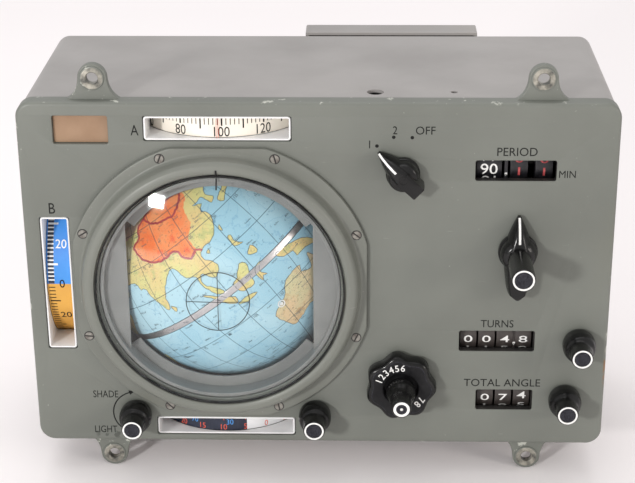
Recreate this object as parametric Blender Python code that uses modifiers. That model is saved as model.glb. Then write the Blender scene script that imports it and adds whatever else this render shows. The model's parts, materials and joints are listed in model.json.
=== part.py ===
"""Panel-mounted globe indicator: a globe behind a domed window, with curved scales, counters and knobs.

Sizes are in millimetres and helpers turn them into metres. Places are counted from the panel datum, the
middle of the panel's front face: X to the right, Y away from the viewer, Z up. The model's origin is below
it, at the middle of the whole object's base.
"""

import math

import bmesh
import bpy
from mathutils import Matrix, Vector

MM = 0.001

# Panel and case
PANEL_WIDTH = 330.0
PANEL_HEIGHT = 209.6
PANEL_DEPTH = 10.0
PLATE = 5.0
RIM = 4.0
CORNER = 9.0
FRONT_EDGE = 2.2
CASE_INSET = 1.0
CASE_WALL = 2.0
CASE_BACK = 142.0
CASE_BACK_CORNER = 10.0
HUMP_X = (-11.0, 95.0)
HUMP_LOW = 52.0
HUMP_BACK = 164.0
GAP = 0.3
HALF_W = PANEL_WIDTH / 2
HALF_H = PANEL_HEIGHT / 2

# Mounting ears
EAR_X = 122.46
EAR_Z = 116.7
EAR_TIP = 8.0
EAR_BASE = 15.0
EAR_FRONT = 6.0
EAR_HOLE = 3.3
EAR_BOSS = 6.8
TOTAL_HALF_HEIGHT = EAR_Z + EAR_TIP

# Dome and globe
RING_CENTRE = (-54.9, -3.0)
RING_FLAT = 82.3
RING_FLANGE = 86.5
DOME_OPENING = 70.6
DOME_RADIUS = 176.0
DOME_APEX = -27.0
DOME_WALL = 2.5
DOME_EDGE = 69.0
SCREW_CIRCLE = 82.8
SCREWS = 8
MASK_OUTER = 67.6
MASK_INNER = 65.4
SHADE_EDGE = 52.3
GLOBE_CENTRE = (-55.0, 52.0, -3.0)
GLOBE_RADIUS = 75.0
GLOBE_WALL = 2.0
EQUATOR_WIDTH = 3.7
TILT = math.radians(51.8)
YOKE_INNER = GLOBE_RADIUS + 0.6
YOKE_OUTER = YOKE_INNER + 4.6
YOKE_WIDTH = 10.0

# Scale drums
DRUM_RADIUS = 46.4
DRUM_WALL = 2.0
DRUM_Y = GLOBE_CENTRE[1]
DRUM_BORE = 3.1
POST = 3.0

# Windows: low x, high x, low z, high z
LONGITUDE_WINDOW = (-95.3, -14.0, 82.6, 97.0)
LATITUDE_WINDOW = (-156.0, -139.2, -44.6, 37.4)
LIGHT_WINDOW = (-95.3, -13.8, -100.5, -88.7)
BLANK_WINDOW = (-145.0, -114.5, 80.8, 97.1)
PERIOD_WINDOW = (86.7, 131.1, 60.1, 72.0)
TURNS_WINDOW = (80.4, 123.5, -44.4, -31.5)
ANGLE_WINDOW = (91.0, 123.7, -82.3, -69.3)

# Counters: wheel centres and widths along x
WHEEL_RADIUS = 12.4
WHEEL_Y = 18.0
WHEEL_BORE = 2.6
AXLE = 2.4
COUNTERS = {
    "period": (66.05, [(94.5, 14.0), (111.0, 9.6), (124.8, 9.6)], (84.4, 133.4)),
    "turns": (-38.0, [(86.0, 9.4), (96.5, 9.4), (107.0, 9.4), (117.5, 9.4)], (79.0, 124.8)),
    "angle": (-75.8, [(96.7, 9.4), (107.3, 9.4), (117.9, 9.4)], (89.6, 125.0)),
}

# Knobs: x and z of each axis
MODE_KNOB = (47.0, 65.0)
MODE_REST = math.radians(133.0)
PERIOD_KNOB = (111.5, 19.0)
ORBIT_KNOB = (47.3, -63.7)
TURNS_KNOB = (148.4, -38.2)
ANGLE_KNOB = (142.0, -74.0)
BRIGHTNESS_KNOB = (-107.0, -86.0)
LIGHT_KNOB = (-2.3, -85.4)
SHAFT = 3.0
SLEEVE = 5.0
RUNNING = 0.1

# Orbit drive
GEAR_TEETH = 40
PINION_TEETH = 20
SHAFT_DROP = GLOBE_CENTRE[2] - ORBIT_KNOB[1]
MODULE = 2 * SHAFT_DROP / (GEAR_TEETH + PINION_TEETH)
GEAR_X = (31.0, 35.0)
MITRE = 8.0

# Chassis: a square tube round the globe
CHASSIS_LOW = (-140.0, 30.0, -87.0)
CHASSIS_HIGH = (30.0, 132.0, 81.0)
CHASSIS_WALL = (3.0, 2.5)
LEG_Z = (50.0, 70.0)

# Rear connectors
CONNECTOR_X = (17.0, 67.0)
CONNECTOR_Z = 78.0
CONNECTOR_BACK = 172.0

STEM_FRONT = -42.0
DATUM = Vector((0, -(STEM_FRONT + CONNECTOR_BACK) / 2, TOTAL_HALF_HEIGHT)) * MM

for old in list(bpy.data.objects):
    bpy.data.objects.remove(old, do_unlink=True)


def new_collection(name):
    collection = bpy.data.collections.new(name)
    bpy.context.scene.collection.children.link(collection)
    return collection


PARTS = new_collection("globe_indicator")
HELPERS = new_collection("cutters")
datum = bpy.data.objects.new("panel_datum", None)
datum.location = DATUM
PARTS.objects.link(datum)


def new_material(name, colour, roughness, metallic=0.0, alpha=1.0):
    material = bpy.data.materials.new(name)
    material.use_nodes = True
    shader = material.node_tree.nodes["Principled BSDF"]
    shader.inputs["Base Color"].default_value = (*colour, 1)
    shader.inputs["Roughness"].default_value = roughness
    shader.inputs["Metallic"].default_value = metallic
    shader.inputs["Alpha"].default_value = alpha
    return material


PAINT = new_material("grey_green_paint", (0.22, 0.235, 0.205), 0.45)
CLEAR = new_material("clear_dome", (0.9, 0.92, 0.93), 0.05, alpha=0.35)
BLACK = new_material("black_plastic", (0.012, 0.012, 0.013), 0.3)
RUBBER = new_material("black_rubber", (0.02, 0.02, 0.02), 0.8)
WHITE = new_material("white_enamel", (0.78, 0.78, 0.74), 0.5)
IVORY = new_material("ivory_scale", (0.75, 0.71, 0.6), 0.5)
TAN = new_material("tan_plate", (0.36, 0.25, 0.14), 0.55)
SHADE = new_material("mask_grey", (0.2, 0.21, 0.2), 0.6)
BLUE = new_material("globe_print", (0.25, 0.5, 0.62), 0.4)
WHEEL = new_material("wheel_brown", (0.035, 0.028, 0.024), 0.55)
STEEL = new_material("steel", (0.5, 0.5, 0.48), 0.3, metallic=1.0)
ALUMINIUM = new_material("aluminium", (0.62, 0.62, 0.6), 0.4, metallic=1.0)
BRASS = new_material("brass", (0.6, 0.44, 0.2), 0.35, metallic=1.0)

TURNS = {
    "X": Matrix.Rotation(math.radians(90), 4, "Y"),
    "Y": Matrix.Rotation(math.radians(-90), 4, "X"),
    "Z": Matrix.Identity(4),
}
POLAR_TURN = Matrix.Rotation(-(math.pi / 2 - TILT), 4, "Y")


def place(name, data, at, turn, material=None):
    """An object at a place counted from the datum: a part with a material, or a hidden helper."""
    thing = bpy.data.objects.new(name, data)
    thing.parent = datum
    thing.matrix_local = Matrix.Translation(Vector(at) * MM) @ turn
    if material is None:
        HELPERS.objects.link(thing)
        thing.hide_render = True
        thing.display_type = "WIRE"
    else:
        PARTS.objects.link(thing)
        data.materials.append(material)
    return thing


def boolean(thing, other, operation):
    modifier = thing.modifiers.new(operation.lower(), "BOOLEAN")
    modifier.operation = operation
    modifier.object = other
    modifier.solver = "EXACT"


def cut(thing, *others):
    for other in others:
        boolean(thing, other, "DIFFERENCE")


def fuse(thing, *others):
    for other in others:
        boolean(thing, other, "UNION")


def add_box(mesh, low, high):
    middle = (Vector(low) + Vector(high)) / 2 * MM
    size = (Vector(high) - Vector(low)) * MM
    return bmesh.ops.create_cube(
        mesh, size=1, matrix=Matrix.Translation(middle) @ Matrix.Diagonal((*size, 1))
    )


def finish_mesh(name, mesh, smooth=False):
    data = bpy.data.meshes.new(name)
    bmesh.ops.recalc_face_normals(mesh, faces=mesh.faces)
    mesh.to_mesh(data)
    mesh.free()
    if smooth:
        data.shade_smooth()
        data.set_sharp_from_angle(angle=math.radians(35))
    return data


def boxes(name, spans, material=None, at=(0, 0, 0)):
    """Boxes that don't touch each other, each given by its lowest and highest corner."""
    mesh = bmesh.new()
    for low, high in spans:
        add_box(mesh, low, high)
    return place(name, finish_mesh(name, mesh), at, TURNS["Z"], material)


def rods(name, axis, spans, material=None, sides=16, at=(0, 0, 0)):
    """Round rods or cones along one axis: a middle, a start, an end, a radius, maybe an end radius."""
    mesh = bmesh.new()
    for middle, start, end, radius, *other in spans:
        where = Vector(middle)
        where["XYZ".index(axis)] = (start + end) / 2
        bmesh.ops.create_cone(
            mesh,
            cap_ends=True,
            segments=sides,
            radius1=radius * MM,
            radius2=(other[0] if other else radius) * MM,
            depth=(end - start) * MM,
            matrix=Matrix.Translation(where * MM) @ TURNS[axis],
        )
    return place(name, finish_mesh(name, mesh, smooth=True), at, TURNS["Z"], material)


def rounded_box(name, low, high, corner, back_corner=0.0, front_edge=0.0, material=None):
    """A box with its four long edges along Y rounded, and its back upright edges or its front edges too."""
    mesh = bmesh.new()
    add_box(mesh, low, high)

    def edges(test):
        return [edge for edge in mesh.edges if all(test(end.co / MM) for end in edge.verts)]

    def along(edge, axis):
        step = edge.verts[1].co - edge.verts[0].co
        return abs(step[axis]) > 0.9 * step.length

    if back_corner:
        back = [edge for edge in edges(lambda point: point.y > high[1] - 0.01) if along(edge, 2)]
        bmesh.ops.bevel(
            mesh, geom=back, offset=back_corner * MM, segments=4, profile=0.5, affect="EDGES"
        )
    outer = [edge for edge in mesh.edges if along(edge, 1) and edge.calc_length() > MM]
    bmesh.ops.bevel(mesh, geom=outer, offset=corner * MM, segments=4, profile=0.5, affect="EDGES")
    if front_edge:
        rim = edges(lambda point: point.y < low[1] + 0.01)
        bmesh.ops.bevel(
            mesh, geom=rim, offset=front_edge * MM, segments=2, profile=0.5, affect="EDGES"
        )
    return place(name, finish_mesh(name, mesh, smooth=True), (0, 0, 0), TURNS["Z"], material)


def turned(name, profile, at, turn, material=None, steps=32):
    """A profile of (radius, height) points spun about the height axis. Off the axis it is a ring."""
    ring = min(radius for radius, _ in profile) > 0
    after = profile[1:] + profile[:1]
    area = sum(r0 * h1 - r1 * h0 for (r0, h0), (r1, h1) in zip(profile, after))
    points = profile if area < 0 else profile[::-1]
    data = bpy.data.meshes.new(name)
    edges = [(i, i + 1) for i in range(len(points) - 1)]
    if ring:
        edges.append((len(points) - 1, 0))
    data.from_pydata([(radius * MM, 0, height * MM) for radius, height in points], edges, [])
    thing = place(name, data, at, turn, material)
    screw = thing.modifiers.new("turn", "SCREW")
    screw.steps = screw.render_steps = steps
    screw.use_merge_vertices = True
    screw.merge_threshold = 0.00001
    screw.use_smooth_shade = True
    return thing


def outline(name, points, low, high, at, turn, material=None):
    """A flat outline made solid between two heights, as a mesh so that it can be cut and joined."""
    curve = bpy.data.curves.new(name, "CURVE")
    curve.dimensions = "2D"
    curve.fill_mode = "BOTH"
    curve.extrude = (high - low) / 2 * MM
    spline = curve.splines.new("POLY")
    spline.points.add(len(points) - 1)
    for point, (x, y) in zip(spline.points, points):
        point.co = (x * MM, y * MM, 0, 1)
    spline.use_cyclic_u = True
    flat = bpy.data.objects.new(name + "_outline", curve)
    HELPERS.objects.link(flat)
    graph = bpy.context.evaluated_depsgraph_get()
    data = bpy.data.meshes.new_from_object(flat.evaluated_get(graph))
    bpy.data.objects.remove(flat)
    data.name = name
    mesh = bmesh.new()
    mesh.from_mesh(data)
    bmesh.ops.remove_doubles(mesh, verts=mesh.verts, dist=0.00001)
    bmesh.ops.translate(mesh, verts=mesh.verts, vec=(0, 0, (low + high) / 2 * MM))
    bmesh.ops.recalc_face_normals(mesh, faces=mesh.faces)
    mesh.to_mesh(data)
    mesh.free()
    return place(name, data, at, turn, material)


def polar(radius, angle):
    return (radius * math.cos(angle), radius * math.sin(angle))


def arc(radius, start, end, steps, middle=(0, 0)):
    return [
        (middle[0] + radius * math.cos(angle), middle[1] + radius * math.sin(angle))
        for angle in (start + (end - start) * i / steps for i in range(steps + 1))
    ]


def window_span(window, front, back, inset=0.0):
    low_x, high_x, low_z, high_z = window
    return (
        (low_x + inset, front, low_z + inset),
        (high_x - inset, back, high_z - inset),
    )


def at_panel(spot, y=0.0):
    return (spot[0], y, spot[1])


def ring_place(y=0.0):
    return at_panel(RING_CENTRE, y)


# Front panel --------------------------------------------------------------------------------------


def ear_outline():
    """From the base up one side, round the tip and down: the sides are hollow curves."""
    root = HALF_H - RIM / 2
    side = []
    for i in range(5):
        t = i / 4
        across = (1 - t) ** 2 * EAR_BASE + 2 * t * (1 - t) * (EAR_TIP + 0.6) + t * t * EAR_TIP
        up = (1 - t) ** 2 * HALF_H + 2 * t * (1 - t) * (HALF_H + 3) + t * t * EAR_Z
        side.append((across, up))
    tip = arc(EAR_TIP, 0, math.pi, 8, (0, EAR_Z))[1:-1]
    left = [(-x, z) for x, z in reversed(side)]
    return [(EAR_BASE, root), *side, *tip, *left, (-EAR_BASE, root)]


def screw_spots():
    for i in range(SCREWS):
        x, z = polar(SCREW_CIRCLE, math.radians(22.5 + 360 / SCREWS * i))
        yield RING_CENTRE[0] + x, RING_CENTRE[1] + z


def front_panel():
    panel = rounded_box(
        "front_panel",
        (-HALF_W, 0, -HALF_H),
        (HALF_W, PANEL_DEPTH, HALF_H),
        CORNER,
        front_edge=FRONT_EDGE,
        material=PAINT,
    )
    tray = rounded_box(
        "panel_tray",
        (RIM - HALF_W, PLATE, RIM - HALF_H),
        (HALF_W - RIM, PANEL_DEPTH + 2, HALF_H - RIM),
        CORNER - RIM,
    )
    cut(panel, tray)
    windows = [
        LONGITUDE_WINDOW,
        LATITUDE_WINDOW,
        LIGHT_WINDOW,
        BLANK_WINDOW,
        PERIOD_WINDOW,
        TURNS_WINDOW,
        ANGLE_WINDOW,
    ]
    cut(panel, boxes("panel_windows", [window_span(w, -2, PLATE + 2) for w in windows]))
    shafts = [MODE_KNOB, TURNS_KNOB, ANGLE_KNOB, BRIGHTNESS_KNOB, LIGHT_KNOB]
    holes = [(at_panel(spot), -2, PLATE + 2, SHAFT + RUNNING) for spot in shafts]
    holes += [(at_panel(spot), -2, PLATE + 2, SLEEVE + RUNNING) for spot in (PERIOD_KNOB, ORBIT_KNOB)]
    cut(panel, rods("panel_shaft_holes", "Y", holes, sides=16))
    threads = [(at_panel(spot), -2, PLATE + 2, 1.7) for spot in screw_spots()]
    cut(panel, rods("panel_screw_holes", "Y", threads, sides=8))
    cut(panel, rods("panel_dome_hole", "Y", [(ring_place(), -2, PLATE + 2, MASK_OUTER + 0.6)], sides=48))
    for label, flip in (("top", 1), ("bottom", -1)):
        for side, x in (("left", -EAR_X), ("right", EAR_X)):
            points = [(u, v * flip) for u, v in ear_outline()]
            turn = Matrix.Rotation(math.radians(90), 4, "X")
            ear = outline(
                f"ear_{label}_{side}", points, -PANEL_DEPTH, -EAR_FRONT, (x, 0, 0), turn
            )
            boss = rods(
                f"ear_boss_{label}_{side}",
                "Y",
                [((x, 0, flip * EAR_Z), EAR_FRONT - 0.8, EAR_FRONT + 1, EAR_BOSS)],
                sides=20,
            )
            fuse(panel, ear, boss)
    ears = [((x, 0, z), 0, PANEL_DEPTH + 4, EAR_HOLE) for x in (-EAR_X, EAR_X) for z in (-EAR_Z, EAR_Z)]
    cut(panel, rods("ear_holes", "Y", ears, sides=16))


# Rear case ----------------------------------------------------------------------------------------

CASE_HOLES = (((31.7, 22.6), 4.7), ((75.2, 23.0), 2.0))


def rear_case():
    """A deep tray, open at the front."""
    half_w = HALF_W - CASE_INSET
    half_h = HALF_H - CASE_INSET
    front = PANEL_DEPTH + GAP
    wall = CASE_WALL
    case = rounded_box(
        "rear_case",
        (-half_w, front, -half_h),
        (half_w, CASE_BACK, half_h),
        CORNER - CASE_INSET,
        back_corner=CASE_BACK_CORNER,
        material=PAINT,
    )
    inside = rounded_box(
        "case_inside",
        (wall - half_w, front - 2, wall - half_h),
        (half_w - wall, CASE_BACK - wall, half_h - wall),
        CORNER - CASE_INSET - wall,
        back_corner=CASE_BACK_CORNER - wall,
    )
    cut(case, inside)
    holes = [((x, y, 0), half_h - 8, half_h + 4, radius) for (x, y), radius in CASE_HOLES]
    cut(case, rods("case_top_holes", "Z", holes, sides=16))


def connector_box():
    """The hump behind the case: a cover box, open at the front, flush with the case's top."""
    front = CASE_BACK + GAP
    top = HALF_H - CASE_INSET
    wall = CASE_WALL
    box = rounded_box(
        "connector_box",
        (HUMP_X[0], front, HUMP_LOW),
        (HUMP_X[1], HUMP_BACK, top),
        0.8,
        back_corner=6,
        material=PAINT,
    )
    hollow = (
        (HUMP_X[0] + wall, front - 4, HUMP_LOW + wall),
        (HUMP_X[1] - wall, HUMP_BACK - wall, top - wall),
    )
    cut(box, boxes("connector_box_inside", [hollow]))
    sockets = [((x, 0, CONNECTOR_Z), HUMP_BACK - 8, HUMP_BACK + 4, 11.0) for x in CONNECTOR_X]
    cut(box, rods("connector_holes", "Y", sockets, sides=24))


def rear_connectors():
    """A flanged round socket, its barrel behind the flange and a smaller body through the wall."""
    for i, x in enumerate(CONNECTOR_X, 1):
        flange = HUMP_BACK + GAP
        spot = (x, 0, CONNECTOR_Z)
        body = boxes(
            f"rear_connector_{i}",
            [((x - 16, flange, CONNECTOR_Z - 16), (x + 16, flange + 2, CONNECTOR_Z + 16))],
            STEEL,
        )
        barrel = rods(
            f"connector_barrel_{i}", "Y", [(spot, flange + 1, CONNECTOR_BACK, 13.0)], sides=20
        )
        neck = rods(f"connector_neck_{i}", "Y", [(spot, flange - 10, flange + 1, 10.6)], sides=16)
        dish = rods(
            f"connector_dish_{i}", "Y", [(spot, CONNECTOR_BACK - 1.5, CONNECTOR_BACK + 2, 11.4)], sides=16
        )
        fuse(body, barrel, neck)
        cut(body, dish)


# Dome ---------------------------------------------------------------------------------------------


def dome_height(radius, sphere=DOME_RADIUS, apex=DOME_APEX):
    return apex + sphere - math.sqrt(sphere**2 - radius**2)


def dome_ring():
    lip = MASK_OUTER + 0.4
    profile = [
        (DOME_OPENING, -12.0),
        (73.0, -13.0),
        (75.8, -12.4),
        (77.6, -10.4),
        (78.4, -5.0),
        (79.6, -3.0),
        (RING_FLANGE, -3.0),
        (RING_FLANGE, -GAP),
        (lip, -GAP),
        (lip, -9.2),
        (DOME_OPENING, -9.2),
    ]
    ring = turned("dome_ring", profile, ring_place(), TURNS["Y"], PAINT, steps=48)
    x, z = RING_CENTRE
    flats = boxes(
        "ring_flats", [((x - RING_FLAT, -20, z - RING_FLAT), (x + RING_FLAT, 5, z + RING_FLAT))]
    )
    boolean(ring, flats, "INTERSECT")
    holes = [(at_panel(spot), -6, 2, 1.7) for spot in screw_spots()]
    cut(ring, rods("ring_holes", "Y", holes, sides=8))
    sinks = [(at_panel(spot), -3.2, -1.4, 3.3, 1.9) for spot in screw_spots()]
    cut(ring, rods("ring_sinks", "Y", sinks, sides=10))


def ring_screws():
    profile = [(0, -2.9), (2.8, -2.9), (1.3, -1.4), (1.3, 6.0), (0, 6.0)]
    for i, spot in enumerate(screw_spots(), 1):
        screw = turned(f"ring_screw_{i}", profile, at_panel(spot), TURNS["Y"], STEEL, steps=10)
        slot_turn = Matrix.Rotation(math.radians(37.0 * i), 4, "Y")
        mesh = bmesh.new()
        add_box(mesh, (-4, -4, -0.4), (4, -2.2, 0.4))
        cut(screw, place(f"screw_slot_{i}", finish_mesh("slot", mesh), at_panel(spot), slot_turn))


def dome_window():
    inner = DOME_RADIUS - DOME_WALL
    steps = 5
    radii = [DOME_EDGE * i / steps for i in range(steps + 1)]
    outer_side = [(r, dome_height(r)) for r in radii]
    inner_side = [(r, dome_height(r, inner, DOME_APEX + DOME_WALL)) for r in reversed(radii)]
    turned("dome_window", outer_side + inner_side, ring_place(), TURNS["Y"], CLEAR, steps=40)


def dome_gasket():
    profile = [
        (DOME_EDGE + GAP, -12.4),
        (DOME_OPENING - GAP, -12.4),
        (DOME_OPENING - GAP, -9.5),
        (DOME_EDGE + GAP, -9.5),
    ]
    turned("dome_gasket", profile, ring_place(), TURNS["Y"], RUBBER, steps=40)


def globe_mask():
    """A short tube behind the dome with a flat shade across each side, clear of the globe between them."""
    tube = [(MASK_INNER, -8.6), (MASK_OUTER, -8.6), (MASK_OUTER, 2.0), (MASK_INNER, 2.0)]
    mask = turned("globe_mask", tube, ring_place(), TURNS["Y"], SHADE, steps=40)
    half = math.acos(SHADE_EDGE / (MASK_OUTER - 0.8))
    segment = arc(MASK_OUTER - 0.8, -half, half, 12)
    for side, facing in (("right", 0.0), ("left", math.pi)):
        points = [
            (x * math.cos(facing) - z * math.sin(facing), x * math.sin(facing) + z * math.cos(facing))
            for x, z in segment
        ]
        fuse(mask, outline(f"shade_{side}", points, -5.2, -4.0, ring_place(), TURNS["Y"]))


# Globe --------------------------------------------------------------------------------------------


def hemisphere(name, flip):
    edge = EQUATOR_WIDTH / 2 + GAP
    inner = GLOBE_RADIUS - GLOBE_WALL
    steps = 5

    def meridian(radius):
        low = math.asin(edge / radius)
        return [polar(radius, low + (math.pi / 2 - low) * i / steps) for i in range(steps + 1)]

    outer_side = meridian(GLOBE_RADIUS)
    inner_side = meridian(inner)
    outer_side[-1] = (0, GLOBE_RADIUS)
    inner_side[-1] = (0, inner)
    profile = outer_side[::-1] + inner_side
    profile = [(radius, height * flip) for radius, height in profile]
    turned(name, profile, GLOBE_CENTRE, POLAR_TURN, BLUE, steps=24)


def globe():
    """The polar axis leans in the panel's plane. A hemisphere turns on it each side of a plate."""
    hemisphere("globe_north", 1)
    hemisphere("globe_south", -1)
    half = EQUATOR_WIDTH / 2
    plate = [(4.7, half), (GLOBE_RADIUS, half), (GLOBE_RADIUS, -half), (4.7, -half)]
    turned("equator_plate", plate, GLOBE_CENTRE, POLAR_TURN, ALUMINIUM, steps=36)
    reach = GLOBE_RADIUS - GLOBE_WALL - 1
    axle = [(0, reach), (4.4, reach), (4.4, -reach), (0, -reach)]
    turned("polar_axle", axle, GLOBE_CENTRE, POLAR_TURN, STEEL, steps=16)


def yokes():
    """Each arm runs round the outside of the globe from the equator plate's edge to the orbit axle."""
    reach = math.pi / 2 - TILT + 0.03
    x, y, z = GLOBE_CENTRE
    turn = Matrix.Rotation(math.radians(90), 4, "X")
    stubs = {"right": (x + YOKE_INNER + 0.6, 44.0, 4.0), "left": (-138.6, x - YOKE_INNER - 0.6, 2.9)}
    for side, facing in (("right", 0.0), ("left", math.pi)):
        start = facing - 0.12
        points = arc(YOKE_OUTER, start, facing + reach, 8) + arc(YOKE_INNER, facing + reach, start, 8)
        arm = outline(
            f"yoke_{side}", points, -YOKE_WIDTH / 2, YOKE_WIDTH / 2, GLOBE_CENTRE, turn, ALUMINIUM
        )
        low, high, radius = stubs[side]
        fuse(arm, rods(f"yoke_axle_{side}", "X", [((0, y, z), low, high, radius)], sides=20))


# Orbit drive --------------------------------------------------------------------------------------


def gear_points(teeth, phase):
    """Straight-sided teeth, thinner than their gaps so that they run free."""
    pitch = 2 * math.pi / teeth
    radius = MODULE * teeth / 2
    root = radius - 1.15 * MODULE
    tip = radius + 0.85 * MODULE
    points = []
    for i in range(teeth):
        middle = phase + i * pitch
        points += [
            polar(root, middle - 0.29 * pitch),
            polar(tip, middle - 0.12 * pitch),
            polar(tip, middle + 0.12 * pitch),
            polar(root, middle + 0.29 * pitch),
        ]
    return points


def ratchet_points(teeth, root, tip):
    points = []
    for i in range(teeth):
        angle = 2 * math.pi * i / teeth
        points += [polar(root, angle), polar(tip, angle + 0.02)]
    return points


def orbit_drive():
    x, y, z = GLOBE_CENTRE
    on_axle = (0, y, z)
    gear = outline("orbit_gear", gear_points(GEAR_TEETH, 0.0), *GEAR_X, on_axle, TURNS["X"], BRASS)
    cut(gear, rods("gear_bore", "X", [(on_axle, 20, 50, 4.3)], sides=20))
    ratchet = outline(
        "ratchet_wheel", ratchet_points(24, 13.0, 15.0), 38.0, 41.0, on_axle, TURNS["X"], STEEL
    )
    cut(ratchet, rods("ratchet_bore", "X", [(on_axle, 20, 50, 4.3)], sides=20))
    low_axle = (0, y, ORBIT_KNOB[1])
    phase = math.pi + math.pi / PINION_TEETH
    pinion = outline(
        "pinion_shaft", gear_points(PINION_TEETH, phase), *GEAR_X, low_axle, TURNS["X"], BRASS
    )
    apex = ORBIT_KNOB[0]
    shaft = rods("pinion_rod", "X", [(low_axle, 26.0, apex - MITRE + 1, 2.0)], sides=16)
    mitre = rods(
        "pinion_mitre", "X", [(low_axle, apex - MITRE, apex - MITRE / 2, MITRE - 0.3, MITRE / 2 - 0.3)]
    )
    fuse(pinion, shaft, mitre)
    solenoid = turned(
        "drive_solenoid",
        [(0, 58), (3, 58), (3, 52), (10, 52), (10, 22), (3, 22), (3, 17.5), (0, 17.5)],
        (48.0, y, z),
        TURNS["Z"],
        STEEL,
        steps=20,
    )
    foot = boxes("solenoid_foot", [((30.3, y - 8, 44.0), (45.0, y + 8, 46.0))])
    fuse(solenoid, foot)


# Scale drums, window frames and chassis -----------------------------------------------------------

LONGITUDE_DRUM = (82.0, 97.0)
LIGHT_DRUM = (-99.8, -88.2)
LATITUDE_DRUM = (-155.6, -140.8)
DRUM_X = -54.6
DRUM_Z = GLOBE_CENTRE[2]


def scale_drum(name, span, web_end, at, axis, material):
    """A rim with a thin web at one end, running on a post."""
    low, high = span
    inner = DRUM_RADIUS - DRUM_WALL
    web = low + 2 if web_end == "low" else high - 2
    if web_end == "low":
        rim = [(DRUM_RADIUS, low), (DRUM_RADIUS, high), (inner, high), (inner, web)]
        profile = [(DRUM_BORE, low), *rim, (DRUM_BORE, web)]
    else:
        rim = [(inner, web), (inner, low), (DRUM_RADIUS, low), (DRUM_RADIUS, high)]
        profile = [(DRUM_BORE, web), *rim, (DRUM_BORE, high)]
    turned(name, profile, at, TURNS[axis], material, steps=32)


def scale_drums():
    upright = (DRUM_X, DRUM_Y, 0)
    scale_drum("longitude_drum", LONGITUDE_DRUM, "low", upright, "Z", IVORY)
    scale_drum("light_drum", LIGHT_DRUM, "high", upright, "Z", IVORY)
    scale_drum("latitude_drum", LATITUDE_DRUM, "high", (0, DRUM_Y, DRUM_Z), "X", IVORY)


def window_frame(name, window, drum_axis, border):
    """A rectangular sleeve in the panel's window, cut at the back to follow the drum."""
    depth = 27.0
    frame = boxes(name, [window_span(window, 0.6, depth, GAP)], WHITE)
    cut(frame, boxes(name + "_inside", [window_span(window, -4, depth + 4, GAP + border)]))
    clear = DRUM_RADIUS + 0.4
    middle = (DRUM_X, DRUM_Y, 0) if drum_axis == "Z" else (0, DRUM_Y, DRUM_Z)
    cut(frame, rods(name + "_back", drum_axis, [(middle, -170, 170, clear)], sides=56))


def window_frames():
    window_frame("longitude_frame", LONGITUDE_WINDOW, "Z", 1.6)
    window_frame("latitude_frame", LATITUDE_WINDOW, "X", 1.6)
    window_frame("light_frame", LIGHT_WINDOW, "Z", 1.4)
    boxes("blank_plate", [window_span(BLANK_WINDOW, 2.6, 4.2, GAP)], TAN)


def chassis():
    side, shelf = CHASSIS_WALL
    frame = boxes("chassis", [(CHASSIS_LOW, CHASSIS_HIGH)], ALUMINIUM)
    inside_low = (CHASSIS_LOW[0] + side, CHASSIS_LOW[1] - 4, CHASSIS_LOW[2] + shelf)
    inside_high = (CHASSIS_HIGH[0] - side, CHASSIS_HIGH[1] + 4, CHASSIS_HIGH[2] - shelf)
    cut(frame, boxes("chassis_inside", [(inside_low, inside_high)]))
    legs = []
    for x in (CHASSIS_LOW[0], CHASSIS_HIGH[0] - side):
        for low, high in (LEG_Z, (-LEG_Z[1], -LEG_Z[0])):
            legs.append(((x, PLATE + GAP, low), (x + side, CHASSIS_LOW[1] + 2, high)))
    fuse(frame, boxes("chassis_legs", legs))
    upright = (DRUM_X, DRUM_Y, 0)
    level = (0, DRUM_Y, DRUM_Z)
    top = rods("top_post", "Z", [(upright, CHASSIS_HIGH[2] - 1, LONGITUDE_DRUM[1] + 1, POST)])
    bottom = rods("bottom_post", "Z", [(upright, LIGHT_DRUM[0] - 0.5, CHASSIS_LOW[2] + 1, POST)])
    left = rods("left_post", "X", [(level, LATITUDE_DRUM[0] - 1, CHASSIS_LOW[0] + 0.5, POST)])
    fuse(frame, top, bottom, left)
    low_axle = (0, DRUM_Y, ORBIT_KNOB[1])
    bearings = [
        (level, -139.0, -130.0, 3.0),
        (level, 20.0, 34.0, 4.0 + RUNNING),
        (low_axle, 20.0, 34.0, 2.0 + RUNNING),
    ]
    cut(frame, rods("chassis_bearings", "X", bearings, sides=20))


# Counters -----------------------------------------------------------------------------------------


def counters():
    for name, (z, wheels, (left, right)) in COUNTERS.items():
        front = PLATE + GAP
        back = WHEEL_Y + WHEEL_RADIUS + 4
        frame = boxes(
            f"{name}_counter_frame",
            [((left, front, z - 9), (right, back, z + 9))],
            ALUMINIUM,
        )
        hollow = boxes(
            f"{name}_counter_hollow",
            [((left + 1.6, front - 4, z - 12), (right - 1.6, back - 1.6, z + 12))],
        )
        cut(frame, hollow)
        axle_line = (0, WHEEL_Y, z)
        fuse(
            frame,
            rods(f"{name}_axle", "X", [(axle_line, left + 0.5, right - 0.5, AXLE)]),
        )
        for i, (x, width) in enumerate(wheels, 1):
            profile = [
                (WHEEL_BORE, width / 2),
                (WHEEL_RADIUS, width / 2),
                (WHEEL_RADIUS, -width / 2),
                (WHEEL_BORE, -width / 2),
            ]
            turned(f"{name}_wheel_{i}", profile, (x, WHEEL_Y, z), TURNS["X"], WHEEL, steps=16)


# Knobs --------------------------------------------------------------------------------------------


def small_knob(name, spot, height=22.0, shaft_end=16.0):
    profile = [
        (0, -height),
        (5.3, -height),
        (6.1, -height + 0.8),
        (6.2, -14.5),
        (8.4, -11.5),
        (9.4, -4.0),
        (9.4, -0.7),
        (SHAFT, -0.7),
        (SHAFT, shaft_end),
        (0, shaft_end),
    ]
    turned(name, profile, at_panel(spot), TURNS["Y"], BLACK, steps=16)


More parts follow.
